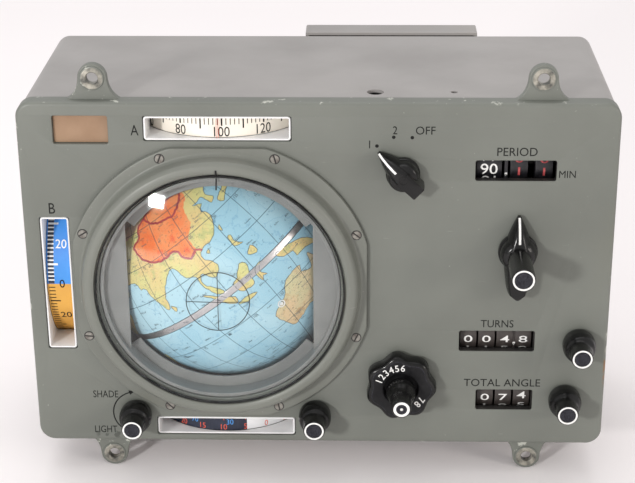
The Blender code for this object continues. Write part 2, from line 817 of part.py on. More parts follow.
def mode_knob():
    """A pointer knob: a long tapered nose and a short square tail on a round skirt."""
    nose, tail, half, tail_half = 21.0, 15.0, 8.6, 4.6
    points = [(nose, -1.0), (nose, 1.0), (4.0, half), (-4.0, half), (-tail, tail_half)]
    points += [(-tail, -tail_half), (-4.0, -half), (4.0, -half)]
    turn = TURNS["Y"] @ Matrix.Rotation(-MODE_REST, 4, "Z")
    knob = outline("mode_knob", points, -14.0, -2.0, at_panel(MODE_KNOB), turn, BLACK)
    fuse(knob, rods("mode_skirt", "Y", [(at_panel(MODE_KNOB), -4.0, -0.7, 9.4)], sides=28))
    fuse(knob, rods("mode_shaft", "Y", [(at_panel(MODE_KNOB), -3.0, 30.0, SHAFT)], sides=20))


def period_knobs():
    """A bar pointer with a sleeve shaft, and a longer stem knob that turns inside it."""
    nose, tail = 24.0, 25.5
    points = [(nose, -1.2), (nose, 1.2), (9.0, 7.5), *arc(11.0, 0.75, 2.3, 6)]
    points += [(-9.0, 7.0), *arc(5.5, math.radians(90), math.radians(270), 8, (5.5 - tail, 0))]
    points += [(-9.0, -7.0), *arc(11.0, -2.3, -0.75, 6), (9.0, -7.5)]
    turn = TURNS["Y"] @ Matrix.Rotation(math.radians(-90), 4, "Z")
    spot = at_panel(PERIOD_KNOB)
    knob = outline("period_pointer", points, -14.0, -1.0, spot, turn, BLACK)
    fuse(knob, rods("pointer_sleeve", "Y", [(spot, -3.0, 12.0, SLEEVE)], sides=24))
    cut(knob, rods("pointer_bore", "Y", [(spot, -20, 20, SHAFT + 0.2)], sides=20))
    profile = [
        (0, STEM_FRONT),
        (5.7, STEM_FRONT),
        (6.5, STEM_FRONT + 0.8),
        (6.6, -15.0),
        (SHAFT, -15.0),
        (SHAFT, 24.0),
        (0, 24.0),
    ]
    turned("period_stem_knob", profile, spot, TURNS["Y"], BLACK, steps=24)


ORBIT_LOBES = 7
FIRST_LOBE = math.radians(-99.5)  # clockwise as seen from the front, like all turned about Y


def lobed_points(outer, inner):
    steps = 6 * ORBIT_LOBES
    middle, swing = (outer + inner) / 2, (outer - inner) / 2
    return [
        polar(middle + swing * math.cos(ORBIT_LOBES * angle), angle + FIRST_LOBE)
        for angle in (2 * math.pi * i / steps for i in range(steps))
    ]


def orbit_knobs():
    """A lobed hand wheel on a sleeve that ends in a mitre, and a stem knob whose shaft runs through it."""
    spot = at_panel(ORBIT_KNOB)
    knob = outline("orbit_knob", lobed_points(20.0, 18.0), -11.5, -1.0, spot, TURNS["Y"], BLACK)
    end = GLOBE_CENTRE[1]
    fuse(knob, rods("orbit_sleeve", "Y", [(spot, -3.0, end - MITRE + 1, SLEEVE)], sides=24))
    cone = (spot, end - MITRE, end - MITRE / 2, MITRE - 0.3, MITRE / 2 - 0.3)
    fuse(knob, rods("orbit_mitre", "Y", [cone]))
    cut(knob, rods("orbit_bore", "Y", [(spot, -20, 60, 2.6)], sides=20))
    profile = [
        (0, -35.0),
        (4.8, -35.0),
        (5.5, -34.2),
        (5.7, -24.0),
        (8.2, -17.0),
        (8.4, -12.0),
        (2.4, -12.0),
        (2.4, 60.0),
        (0, 60.0),
    ]
    turned("earth_knob", profile, spot, TURNS["Y"], BLACK, steps=24)


def controls_behind():
    """What the knob shafts work: a wafer switch and a variable resistor, bored for their shafts."""
    can = [(SHAFT + 0.2, 6.0), (15.0, 6.0), (15.0, 27.0), (SHAFT + 0.2, 27.0)]
    turned("mode_switch", can, at_panel(MODE_KNOB), TURNS["Y"], BRASS, steps=24)
    pot = [(SHAFT + 0.2, 6.0), (9.5, 6.0), (9.5, 18.0), (SHAFT + 0.2, 18.0)]
    turned("brightness_control", pot, at_panel(BRIGHTNESS_KNOB), TURNS["Y"], STEEL, steps=24)


front_panel()
rear_case()
connector_box()
rear_connectors()
dome_ring()
ring_screws()
dome_window()
dome_gasket()
globe_mask()
globe()
yokes()
orbit_drive()
scale_drums()
window_frames()
chassis()
counters()
mode_knob()
period_knobs()
orbit_knobs()
small_knob("turns_knob", TURNS_KNOB)
small_knob("angle_knob", ANGLE_KNOB)
small_knob("brightness_knob", BRIGHTNESS_KNOB)
small_knob("light_knob", LIGHT_KNOB)
controls_behind()
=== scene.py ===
"""Looks of the globe navigation indicator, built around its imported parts.
Sizes are in millimetres from the middle of the panel's front face: x right, y away, z up."""

import json
from math import acos, asin, atan2, cos, degrees, hypot, pi, radians, sin, sqrt

import bmesh
import bpy
from mathutils import Matrix, Vector, noise
from mathutils.geometry import delaunay_2d_cdt, tessellate_polygon


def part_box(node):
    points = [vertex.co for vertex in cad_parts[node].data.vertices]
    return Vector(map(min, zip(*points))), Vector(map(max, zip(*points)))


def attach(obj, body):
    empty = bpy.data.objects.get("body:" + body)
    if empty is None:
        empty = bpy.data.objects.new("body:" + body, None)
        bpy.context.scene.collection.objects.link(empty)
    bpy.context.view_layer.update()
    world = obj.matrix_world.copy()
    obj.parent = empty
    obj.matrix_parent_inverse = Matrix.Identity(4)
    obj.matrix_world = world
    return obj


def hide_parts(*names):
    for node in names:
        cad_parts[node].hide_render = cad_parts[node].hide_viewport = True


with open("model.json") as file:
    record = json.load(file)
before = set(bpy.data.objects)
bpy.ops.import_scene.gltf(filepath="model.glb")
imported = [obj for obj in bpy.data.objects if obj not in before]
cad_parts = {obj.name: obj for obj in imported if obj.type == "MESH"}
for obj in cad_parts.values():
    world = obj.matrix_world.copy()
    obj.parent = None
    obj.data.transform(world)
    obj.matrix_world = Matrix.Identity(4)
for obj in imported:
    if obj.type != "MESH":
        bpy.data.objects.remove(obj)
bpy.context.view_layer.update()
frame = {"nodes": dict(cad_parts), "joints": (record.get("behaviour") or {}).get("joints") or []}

noise.seed_set(1)  # without it the coasts wander differently in each run

MM = 0.001
STEPS = 96
SHARP = 35  # degrees between faces, above which an edge is drawn sharp
PRINT = 0.06  # how far printed marks stand off the surface they are printed on


# Places from the frame ----------------------------------------------------------------------------

panel_low, panel_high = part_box("front_panel")
DATUM = Vector(((panel_low.x + panel_high.x) / 2, panel_low.y, (panel_low.z + panel_high.z) / 2))
JOINTS = {joint["name"]: joint for joint in frame["joints"]}


def local(point):
    return (Vector(point) - DATUM) / MM


def span(node):
    """A node's lowest and highest corner."""
    low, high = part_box(node)
    return local(low), local(high)


def middle(node):
    low, high = span(node)
    return (low + high) / 2


def pivot(joint):
    return local(JOINTS[joint]["pos_m"])


def axis(joint):
    return Vector(JOINTS[joint]["axis"]).normalized()


PANEL_W = span("front_panel")[1].x
PANEL_H = span("rear_case")[1].z + 1.0
RING = middle("dome_ring")
GLOBE = pivot("earth_turn")
DRUM_RADIUS = (span("longitude_drum")[1].y - span("longitude_drum")[0].y) / 2 + 2.9
BORDER = 1.1  # width of a window frame's face
GLOBE_RADIUS = 75.0
NORTH = axis("earth_turn")
FACING = Vector((0, -1, 0))
EAST = NORTH.cross(FACING)
GLOBE_TURN = Matrix((FACING, EAST, NORTH)).transposed().to_4x4()
FACING_LONGITUDE = 99.0
RUST_Z = -55.0
SCUFF_SPOT = (-123.0, -100.5)


# Meshes -------------------------------------------------------------------------------------------


class Shape:
    """Points and faces gathered for one piece. A kind is the number of the face's material."""

    def __init__(self):
        self.points, self.faces, self.kinds, self.smooth = [], [], [], []

    def add(self, points, faces, kind=0, smooth=True):
        first = len(self.points)
        self.points += [Vector(point) for point in points]
        for face in faces:
            self.faces.append([first + i for i in face])
            self.kinds.append(kind)
            self.smooth.append(smooth)

    def loft(self, loops, kind=0, smooth=True, closed=True):
        """Joins each loop to the next. A loop of one point ends the surface in a fan."""
        for a, b in zip(loops, loops[1:]):
            count = max(len(a), len(b))
            last = count if closed else count - 1
            faces = []
            for i in range(last):
                j = (i + 1) % count
                if len(a) == 1:
                    faces.append((0, 1 + i, 1 + j))
                elif len(b) == 1:
                    faces.append((i, j, count))
                else:
                    faces.append((i, j, count + j, count + i))
            self.add([*a, *b], faces, kind, smooth)

    def sheet(self, *loops, kind=0):
        """A flat face inside the first loop and round the others."""
        loops = [[Vector(point) for point in loop] for loop in loops]
        flat = [point for loop in loops for point in loop]
        self.add(flat, tessellate_polygon(loops), kind, smooth=False)

    def turned(self, profile, kind=0, steps=STEPS, at=(0, 0)):
        """A profile of (radius, y) points turned about the y axis."""
        self.loft([ring(r, y, steps, at) for r, y in profile], kind)

    def block(self, low, high, edge=0.3, kind=0):
        """A box with a rounded front edge."""
        loops = []
        front, back = low[1], high[1]
        for inset, y in ((edge, front), (edge * 0.3, front + edge * 0.3), (0, front + edge), (0, back)):
            left, right = low[0] + inset, high[0] - inset
            bottom, top = low[2] + inset, high[2] - inset
            loops.append([(left, y, bottom), (right, y, bottom), (right, y, top), (left, y, top)])
        self.sheet(loops[0], kind=kind)
        self.loft(loops, kind, smooth=False)
        self.sheet(loops[-1], kind=kind)


def circle(radius, steps):
    """Points round the origin of a plane, as (u, v)."""
    return [(radius * cos(a), radius * sin(a)) for a in (2 * pi * i / steps for i in range(steps))]


def ring(radius, y, steps=STEPS, at=(0, 0)):
    """A circle in the plane at y, or its middle alone where it has no radius."""
    if radius < 1e-6:
        return [Vector((at[0], y, at[1]))]
    return [Vector((at[0] + u, y, at[1] + v)) for u, v in circle(radius, steps)]


def soften(profile, radius, steps=4):
    """Rounds each inner corner of a line of (u, v) points."""
    points = [Vector(point) for point in profile]
    out = [points[0]]
    for before, corner, after in zip(points, points[1:], points[2:]):
        reach = min(radius, (before - corner).length * 0.45, (after - corner).length * 0.45)
        start = corner + (before - corner).normalized() * reach
        end = corner + (after - corner).normalized() * reach
        for i in range(steps + 1):
            t = i / steps
            out.append(start * (1 - t) ** 2 + corner * 2 * t * (1 - t) + end * t * t)
    return [tuple(point) for point in out] + [tuple(points[-1])]


def rounded(low_x, high_x, low_z, high_z, radius, y, grow=0.0, steps=8):
    """A rectangle's outline with round corners, in the plane at y."""
    bend = max(radius + grow, 0.15)
    loop = []
    corners = ((high_x, low_z, -90), (high_x, high_z, 0), (low_x, high_z, 90), (low_x, low_z, 180))
    for x, z, start in corners:
        inner_x = x + (grow - bend) * (1 if x == high_x else -1)
        inner_z = z + (grow - bend) * (1 if z == high_z else -1)
        for i in range(steps + 1):
            a = radians(start + 90 * i / steps)
            loop.append(Vector((inner_x + bend * cos(a), y, inner_z + bend * sin(a))))
    return loop


def quarter(radius, steps=5):
    """(inset, depth) down a round edge, from the face to the side."""
    angles = [pi / 2 * i / steps for i in range(steps + 1)]
    return [(radius * (1 - sin(a)), radius * (1 - cos(a))) for a in angles]


def placed(name, data):
    thing = bpy.data.objects.new(name, data)
    bpy.context.scene.collection.objects.link(thing)
    return thing


def evaluated(thing):
    """The thing's mesh with its text or its modifiers worked out."""
    bpy.context.view_layer.update()
    graph = bpy.context.evaluated_depsgraph_get()
    return bpy.data.meshes.new_from_object(thing.evaluated_get(graph))


def make(
    shape, name, finishes, body, slot,
    at=(0, 0, 0), turn=None, replaces=(), sharp=SHARP, weld=0.002,
):
    """Turns a gathered shape into a piece that rides on a body. Weld is in millimetres."""
    mesh = bpy.data.meshes.new(name)
    mesh.from_pydata([point * MM for point in shape.points], [], shape.faces)
    mesh.polygons.foreach_set("material_index", shape.kinds)
    mesh.polygons.foreach_set("use_smooth", shape.smooth)
    solid = bmesh.new()
    solid.from_mesh(mesh)
    bmesh.ops.remove_doubles(solid, verts=solid.verts, dist=weld * MM)
    bmesh.ops.recalc_face_normals(solid, faces=solid.faces)
    solid.to_mesh(mesh)
    solid.free()
    for finish in finishes:
        mesh.materials.append(finish)
    mesh.set_sharp_from_angle(angle=radians(sharp))
    thing = placed(name, mesh)
    thing.matrix_world = Matrix.Translation(DATUM + Vector(at) * MM) @ (turn or Matrix.Identity(4))
    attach(thing, body)
    if replaces:
        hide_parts(*replaces)
    return thing


# Lettering ----------------------------------------------------------------------------------------

LETTERS = {}
CAPITAL = 0.69  # a capital's height in the built-in font


def lettering(text, height, squeeze=1.0, weight=0.0):
    """The text's points about its middle, capitals this tall, and its faces."""
    key = (text, height, squeeze, weight)
    if key not in LETTERS:
        curve = bpy.data.curves.new("lettering", "FONT")
        curve.body = text
        curve.resolution_u = 3
        curve.offset = weight
        holder = placed("lettering", curve)
        mesh = evaluated(holder)
        points = [vertex.co.copy() for vertex in mesh.vertices]
        faces = [tuple(face.vertices) for face in mesh.polygons]
        bpy.data.objects.remove(holder)
        bpy.data.curves.remove(curve)
        bpy.data.meshes.remove(mesh)
        scale = height / CAPITAL
        centre = (min(point.x for point in points) + max(point.x for point in points)) / 2
        centred = [
            ((point.x - centre) * scale * squeeze, (point.y - CAPITAL / 2) * scale) for point in points
        ]
        LETTERS[key] = (centred, faces)
    return LETTERS[key]


def bar(width, height):
    """A flat rectangle's points and its face."""
    u, v = width / 2, height / 2
    return [(-u, -v), (u, -v), (u, v), (-u, v)], [(0, 1, 2, 3)]


def disc(radius, steps=16):
    return circle(radius, steps), [tuple(range(steps))]


def put(shape, flat, at, mapped, kind=0, step=0.0, turn=0.0):
    """Adds a flat figure at a place on a surface, cut finely enough to bend with it."""
    points, faces = flat
    c, s = cos(turn), sin(turn)
    points = [(at[0] + c * u - s * v, at[1] + s * u + c * v) for u, v in points]
    if step:
        fine = bmesh.new()
        corners = [fine.verts.new((u, v, 0)) for u, v in points]
        for face in faces:
            if len(set(face)) > 2:
                fine.faces.new([corners[i] for i in face])
        for index in (0, 1):
            low = min(point[index] for point in points)
            high = max(point[index] for point in points)
            for k in range(1, int((high - low) / step) + 1):
                line = [0, 0, 0]
                line[index] = low + k * step
                across = [0, 0, 0]
                across[index] = 1
                parts = [*fine.verts, *fine.edges, *fine.faces]
                bmesh.ops.bisect_plane(fine, geom=parts, plane_co=line, plane_no=across)
        fine.verts.index_update()
        points = [(vertex.co.x, vertex.co.y) for vertex in fine.verts]
        faces = [[vertex.index for vertex in face.verts] for face in fine.faces]
        fine.free()
    shape.add([mapped(u, v) for u, v in points], faces, kind, smooth=bool(step))


def on_panel(u, v):
    return Vector((u, -PRINT, v))


def forward(point):
    """The way a flat mark on the front faces, wherever it lies."""
    return FACING


def round_upright(radius):
    """A drum about z: u runs right round it and v up."""
    return lambda u, v: Vector((radius * sin(u / radius), -radius * cos(u / radius), v))


def round_level(radius):
    """A drum about x: u runs right along it and v up round it."""
    return lambda u, v: Vector((u, -radius * cos(v / radius), radius * sin(v / radius)))


# Materials ----------------------------------------------------------------------------------------


class Finish:
    """A Principled material. Each step's result is a socket that the next one takes."""

    def __init__(self, name, roughness=0.5, metallic=0.0, specular=0.5, coat=0.0, coat_roughness=0.1):
        self.material = bpy.data.materials.new(name)
        self.material.use_nodes = True
        tree = self.material.node_tree
        self.nodes, self.links = tree.nodes, tree.links
        self.shader = self.nodes["Principled BSDF"]
        settings = {
            "Roughness": roughness,
            "Metallic": metallic,
            "Specular IOR Level": specular,
            "Coat Weight": coat,
            "Coat Roughness": coat_roughness,
        }
        for socket, value in settings.items():
            self.shader.inputs[socket].default_value = value
        self.place = self.nodes.new("ShaderNodeTexCoord").outputs["Object"]

    def give(self, socket, value):
        if isinstance(value, bpy.types.NodeSocket):
            self.links.new(value, socket)
        elif isinstance(value, tuple) and len(value) == 3 and socket.type == "RGBA":
            socket.default_value = (*value, 1)
        else:
            socket.default_value = value

    def math(self, operation, a, b=0.0, c=None, clamp=False):
        node = self.nodes.new("ShaderNodeMath")
        node.operation = operation
        node.use_clamp = clamp
        for socket, value in zip(node.inputs, (a, b, c)):
            if value is not None:
                self.give(socket, value)
        return node.outputs[0]

    def noise(self, scale, detail=3.0, stretch=None, rough=0.5):
        node = self.nodes.new("ShaderNodeTexNoise")
        node.inputs["Scale"].default_value = scale
        node.inputs["Detail"].default_value = detail
        node.inputs["Roughness"].default_value = rough
        vector = self.place
        if stretch:
            mapping = self.nodes.new("ShaderNodeMapping")
            mapping.inputs["Scale"].default_value = stretch
            self.links.new(vector, mapping.inputs["Vector"])
            vector = mapping.outputs["Vector"]
        self.links.new(vector, node.inputs["Vector"])
        return node.outputs["Fac"]

    def ramp(self, value, low, high, start=0.0, end=1.0):
        node = self.nodes.new("ShaderNodeMapRange")
        for socket, number in zip(node.inputs, (value, low, high, start, end)):
            self.give(socket, number)
        return node.outputs["Result"]

    def mix(self, share, a, b):
        node = self.nodes.new("ShaderNodeMix")
        node.data_type = "RGBA"
        for socket, value in (("Factor_Float", share), ("A_Color", a), ("B_Color", b)):
            self.give(next(s for s in node.inputs if s.identifier == socket), value)
        return next(s for s in node.outputs if s.identifier == "Result_Color")

    def parts(self):
        node = self.nodes.new("ShaderNodeSeparateXYZ")
        self.links.new(self.place, node.inputs[0])
        return node.outputs

    def colour(self, value):
        self.give(self.shader.inputs["Base Color"], value)
        return self

    def rough(self, value):
        self.give(self.shader.inputs["Roughness"], value)
        return self

    def bump(self, height, depth, strength=1.0):
        """Depth is in millimetres."""
        node = self.nodes.new("ShaderNodeBump")
        node.inputs["Strength"].default_value = strength
        node.inputs["Distance"].default_value = depth * MM
        self.give(node.inputs["Height"], height)
        self.give(self.shader.inputs["Normal"], node.outputs["Normal"])
        return self


def plain(name, colour, other, roughness, metallic=0.0, scale=180, depth=0.02, spread=0.1, **more):
    """Two close shades mottled together, with a fine grain in the surface."""
    finish = Finish(name, roughness, metallic, **more)
    patches = finish.noise(scale, 4)
    finish.colour(finish.mix(finish.ramp(patches, 0.35, 0.65), colour, other))
    low, high = roughness - spread, roughness + spread
    finish.rough(finish.ramp(finish.noise(scale * 0.6, 3), 0.3, 0.7, low, high))
    finish.bump(finish.noise(scale * 6, 2), depth)
    return finish.material


def brushed(name, colour, other, roughness, stretch):
    finish = Finish(name, roughness, 1.0)
    lines = finish.noise(900, 3, stretch)
    finish.colour(finish.mix(finish.ramp(lines, 0.3, 0.7), colour, other))
    finish.rough(finish.ramp(lines, 0.3, 0.7, roughness - 0.08, roughness + 0.12))
    finish.bump(lines, 0.01)
    return finish.material


def panel_wear(finish, base, worn):
    """Chips along the panel's edges, rust low on its right edge, and a scuff at its lower left."""

    def times(a, b):
        return finish.math("MULTIPLY", a, b)

    x, _, z = finish.parts()
    side = finish.math("SUBTRACT", finish.math("ABSOLUTE", x), (PANEL_W - 1.6) * MM)
    ends = finish.math("SUBTRACT", finish.math("ABSOLUTE", z), (PANEL_H - 1.6) * MM)
    near = finish.ramp(finish.math("MAXIMUM", side, ends), 0.2 * MM, 1.3 * MM)
    flaws = finish.ramp(finish.noise(95, 6, rough=0.7), 0.6, 0.63)
    base = finish.mix(times(near, flaws), base, worn)
    right = finish.ramp(x, (PANEL_W - 1.8) * MM, (PANEL_W - 0.9) * MM)
    rust_height = finish.math("ABSOLUTE", finish.math("SUBTRACT", z, RUST_Z * MM))
    level = finish.ramp(rust_height, 12 * MM, 4 * MM)
    rust = times(times(right, level), finish.ramp(finish.noise(150, 4), 0.45, 0.5))
    base = finish.mix(rust, base, (0.2, 0.11, 0.05))
    left = finish.math("SUBTRACT", x, SCUFF_SPOT[0] * MM)
    low = times(finish.math("SUBTRACT", z, SCUFF_SPOT[1] * MM), 3.0)
    squares = finish.math("ADD", finish.math("POWER", left, 2.0), finish.math("POWER", low, 2.0))
    close = finish.ramp(finish.math("SQRT", squares), 11 * MM, 6 * MM)
    scuff = times(close, finish.ramp(finish.noise(240, 5), 0.5, 0.56))
    return finish.mix(scuff, base, (0.07, 0.075, 0.065))


def paint(name, colour, worn, edge_wear):
    """Enamel with a slight orange peel, faint stains, specks and fine scratches."""
    finish = Finish(name, 0.42, specular=0.4)
    shade = tuple(0.86 * c for c in colour)
    warm = (colour[0] * 0.95, colour[1] * 0.86, colour[2] * 0.68)
    base = finish.mix(finish.ramp(finish.noise(14, 5), 0.35, 0.65), colour, shade)
    base = finish.mix(finish.ramp(finish.noise(9, 3), 0.62, 0.8, 0, 0.35), base, warm)
    specks = finish.ramp(finish.noise(520, 2), 0.74, 0.78, 0, 0.5)
    base = finish.mix(specks, base, worn)
    scratch = finish.ramp(finish.noise(60, 4, (1, 1, 14)), 0.72, 0.75, 0, 0.3)
    base = finish.mix(scratch, base, worn)
    if edge_wear:
        base = panel_wear(finish, base, worn)
    finish.colour(base)
    finish.rough(finish.ramp(finish.noise(30, 4), 0.3, 0.7, 0.34, 0.5))
    finish.bump(finish.noise(700, 3), 0.02)
    return finish.material


def graticule(finish, base, line):
    """Lines each 15 degrees of latitude and longitude, in the globe's own axes."""
    x, y, z = finish.parts()
    half = radians(7.5)
    latitude = finish.math("ARCSINE", finish.math("DIVIDE", z, GLOBE_RADIUS * MM))
    longitude = finish.math("ARCTAN2", y, x)
    longitude = finish.math("ADD", longitude, radians(FACING_LONGITUDE + 360))
    from_parallel = finish.math("PINGPONG", finish.math("ADD", latitude, radians(180)), half)
    from_meridian = finish.math("PINGPONG", longitude, half)
    from_meridian = finish.math("MULTIPLY", from_meridian, finish.math("COSINE", latitude))
    nearest = finish.math("MINIMUM", from_parallel, from_meridian)
    return finish.mix(finish.ramp(nearest, 0.0017, 0.0034, 0.85, 0.0), base, line)


def ocean():
    finish = Finish("globe_ocean_print", 0.42, specular=0.2)
    deep = finish.ramp(finish.noise(22, 6), 0.42, 0.62)
    base = finish.mix(deep, (0.33, 0.57, 0.68), (0.44, 0.66, 0.74))
    contour = finish.noise(22, 6)
    band = finish.math("PINGPONG", contour, 0.035)
    base = finish.mix(finish.ramp(band, 0.0012, 0.0035, 0.35, 0.0), base, (0.1, 0.3, 0.5))
    base = finish.mix(finish.ramp(finish.noise(420, 3), 0.66, 0.7, 0, 0.5), base, (0.06, 0.16, 0.27))
    finish.colour(graticule(finish, base, (0.03, 0.08, 0.12)))
    finish.rough(finish.ramp(finish.noise(60, 3), 0.3, 0.7, 0.36, 0.5))
    finish.bump(finish.noise(1400, 2), 0.01)
    return finish.material


def land(name, low, high, relief, ink=0.55):
    """Printed land: two map tints, relief lines and small dark marks like a map's names."""
    finish = Finish(name, 0.42, specular=0.2)
    base = finish.mix(finish.ramp(finish.noise(55, 6), 0.42, 0.6), low, high)
    base = finish.mix(finish.ramp(finish.noise(130, 5), 0.6, 0.68, 0, 0.7), base, relief)
    rivers = finish.math("PINGPONG", finish.noise(70, 5), 0.06)
    base = finish.mix(finish.ramp(rivers, 0.001, 0.004, 0.45, 0.0), base, (0.1, 0.16, 0.16))
    marks = finish.ramp(finish.noise(620, 4, (1, 1, 2.4)), 0.62, 0.66, 0, ink)
    base = finish.mix(marks, base, (0.06, 0.06, 0.05))
    finish.colour(graticule(finish, base, (0.05, 0.08, 0.09)))
    finish.bump(finish.noise(1400, 2), 0.01)
    return finish.material


def clear(name, tint, gloss_roughness):
    """Clear plastic: it mirrors more at a glancing angle, and lets lamp light through."""
    material = bpy.data.materials.new(name)
    material.use_nodes = True
    nodes, links = material.node_tree.nodes, material.node_tree.links
    nodes.clear()
    out = nodes.new("ShaderNodeOutputMaterial")
    through = nodes.new("ShaderNodeBsdfTransparent")
    through.inputs["Color"].default_value = (*tint, 1)
    gloss = nodes.new("ShaderNodeBsdfGlossy")
    gloss.inputs["Roughness"].default_value = gloss_roughness
    facing = nodes.new("ShaderNodeLayerWeight")
    steep = nodes.new("ShaderNodeMath")
    steep.operation = "POWER"
    steep.inputs[1].default_value = 5.0
    mirror = nodes.new("ShaderNodeMath")
    mirror.operation = "MULTIPLY_ADD"
    mirror.inputs[1].default_value = 0.9
    mirror.inputs[2].default_value = 0.03
    mixed = nodes.new("ShaderNodeMixShader")
    place = nodes.new("ShaderNodeTexCoord")
    smudge = nodes.new("ShaderNodeTexNoise")
    smudge.inputs["Scale"].default_value = 40
    bump = nodes.new("ShaderNodeBump")
    bump.inputs["Strength"].default_value = 0.15
    bump.inputs["Distance"].default_value = 0.05 * MM
    for source, taker in (
        (facing.outputs["Facing"], steep.inputs[0]),
        (steep.outputs[0], mirror.inputs[0]),
        (place.outputs["Object"], smudge.inputs["Vector"]),
        (smudge.outputs["Fac"], bump.inputs["Height"]),
        (bump.outputs["Normal"], gloss.inputs["Normal"]),
        (mirror.outputs[0], mixed.inputs["Fac"]),
        (through.outputs["BSDF"], mixed.inputs[1]),
        (gloss.outputs["BSDF"], mixed.inputs[2]),
        (mixed.outputs["Shader"], out.inputs["Surface"]),
    ):
        links.new(source, taker)
    return material


GREY = (0.160, 0.169, 0.149)
PANEL_PAINT = paint("panel_enamel", GREY, (0.44, 0.45, 0.4), True)
RING_PAINT = paint("ring_enamel", (0.172, 0.18, 0.158), (0.36, 0.36, 0.33), False)
CASE_PAINT = paint("case_enamel", (0.33, 0.315, 0.305), (0.45, 0.44, 0.42), False)
BARE = plain("bare_metal", (0.1, 0.1, 0.09), (0.42, 0.4, 0.34), 0.45, 0.6, scale=230, depth=0.06)
BLACK = plain(
    "black_knob", (0.004, 0.004, 0.004), (0.008, 0.008, 0.008), 0.22,
    scale=90, depth=0.01, spread=0.06, specular=0.32,
)
MATT_BLACK = plain(
    "black_face", (0.005, 0.005, 0.006), (0.01, 0.01, 0.011), 0.5,
    scale=500, depth=0.06, specular=0.25,
)
GRAINED = plain(
    "grained_cap", (0.004, 0.004, 0.007), (0.035, 0.035, 0.045), 0.6,
    scale=1500, depth=0.15, specular=0.25,
)
WHITE_INK = plain("white_filling", (0.83, 0.83, 0.81), (0.72, 0.72, 0.7), 0.5, scale=700)
BLACK_INK = plain(
    "black_filling", (0.004, 0.004, 0.004), (0.014, 0.014, 0.013), 0.6, scale=900, specular=0.2
)
INK = plain("map_ink", (0.03, 0.06, 0.09), (0.05, 0.09, 0.12), 0.4, scale=500)
RED_INK = plain("red_ink", (0.75, 0.12, 0.06), (0.6, 0.08, 0.05), 0.5, scale=900)
BLUE_INK = plain("blue_ink", (0.05, 0.25, 0.65), (0.08, 0.33, 0.75), 0.5, scale=900)
PINK_INK = plain("red_digit_filling", (0.52, 0.1, 0.1), (0.25, 0.02, 0.025), 0.5, scale=260)
DARK_RED = plain("border_ink", (0.3, 0.02, 0.03), (0.45, 0.05, 0.05), 0.4, scale=300)
ENAMEL = plain("white_frame_enamel", (0.82, 0.82, 0.82), (0.74, 0.74, 0.74), 0.35, scale=60)
IVORY = plain("ivory_band", (0.84, 0.79, 0.70), (0.78, 0.72, 0.62), 0.5, scale=30)
SCALE_WHITE = plain("silver_white_band", (0.8, 0.8, 0.8), (0.7, 0.7, 0.72), 0.35, scale=40)
BLUE = plain("blue_band", (0.03, 0.2, 0.62), (0.05, 0.27, 0.7), 0.45, scale=40)
OCHRE = plain("ochre_band", (0.68, 0.36, 0.06), (0.6, 0.3, 0.05), 0.5, scale=40)
NAVY = plain("navy_band", (0.01, 0.014, 0.03), (0.02, 0.026, 0.05), 0.45, scale=60)
TAN = plain("tan_blank", (0.3, 0.19, 0.115), (0.23, 0.135, 0.075), 0.55, scale=45, depth=0.06)
RUBBER = plain("gasket_rubber", (0.012, 0.012, 0.012), (0.03, 0.03, 0.03), 0.8, specular=0.15)
MASK = plain("mask_enamel", (0.25, 0.252, 0.24), (0.2, 0.203, 0.196), 0.5, scale=40, specular=0.25)
WHEEL = plain("wheel_brown", (0.035, 0.028, 0.026), (0.055, 0.046, 0.042), 0.5, scale=250, depth=0.05)
WHEEL_BLACK = plain(
    "wheel_black", (0.005, 0.005, 0.006), (0.012, 0.011, 0.014), 0.4, scale=250, depth=0.05
)
# Black for the counter frames and the counter windows' walls, and painted shade in the bezel screws'
# slots and round their heads.
BLACK_PAINT_AND_SHADE = plain(
    "black_paint_and_painted_shade", (0.012, 0.011, 0.011), (0.03, 0.027, 0.025), 0.6, scale=200, depth=0.05
)
STEEL = brushed("bright_steel", (0.62, 0.6, 0.57), (0.4, 0.38, 0.36), 0.3, (1, 6, 1))
DULL_STEEL = plain(
    "painted_screw", (0.3, 0.29, 0.26), (0.15, 0.13, 0.115), 0.42, 0.5, scale=300, depth=0.04
)
ALUMINIUM = brushed("milled_aluminium", (0.66, 0.66, 0.66), (0.5, 0.5, 0.5), 0.38, (5, 1, 1))
SILVER = brushed("equator_silver", (0.72, 0.69, 0.69), (0.5, 0.48, 0.48), 0.32, (1, 1, 12))
BRASS = brushed("gear_brass", (0.62, 0.45, 0.2), (0.45, 0.31, 0.13), 0.34, (1, 4, 1))
PHENOLIC = plain(
    "brown_phenolic", (0.1, 0.045, 0.02), (0.06, 0.025, 0.012), 0.45, scale=120, depth=0.05
)
PLATED = plain("plated_shell", (0.56, 0.56, 0.53), (0.42, 0.42, 0.4), 0.36, 1.0, scale=140, depth=0.04)
DOME = clear("dome_clear", (0.965, 0.972, 0.975), 0.045)
OCEAN = ocean()
LAND = land("globe_land_print", (0.68, 0.64, 0.26), (0.74, 0.56, 0.24), (0.46, 0.5, 0.2))
HIGHLAND = land("globe_highland_print", (0.88, 0.2, 0.05), (0.86, 0.32, 0.12), (0.8, 0.1, 0.03))
NORTHLAND = land("globe_northland_print", (0.68, 0.36, 0.26), (0.6, 0.45, 0.3), (0.4, 0.16, 0.1))
SANDLAND = land("globe_sandland_print", (0.7, 0.52, 0.3), (0.62, 0.56, 0.32), (0.5, 0.3, 0.14))
ICELAND = land("globe_ice_print", (0.78, 0.8, 0.8), (0.68, 0.73, 0.75), (0.55, 0.62, 0.66), 0.2)


# Front panel --------------------------------------------------------------------------------------

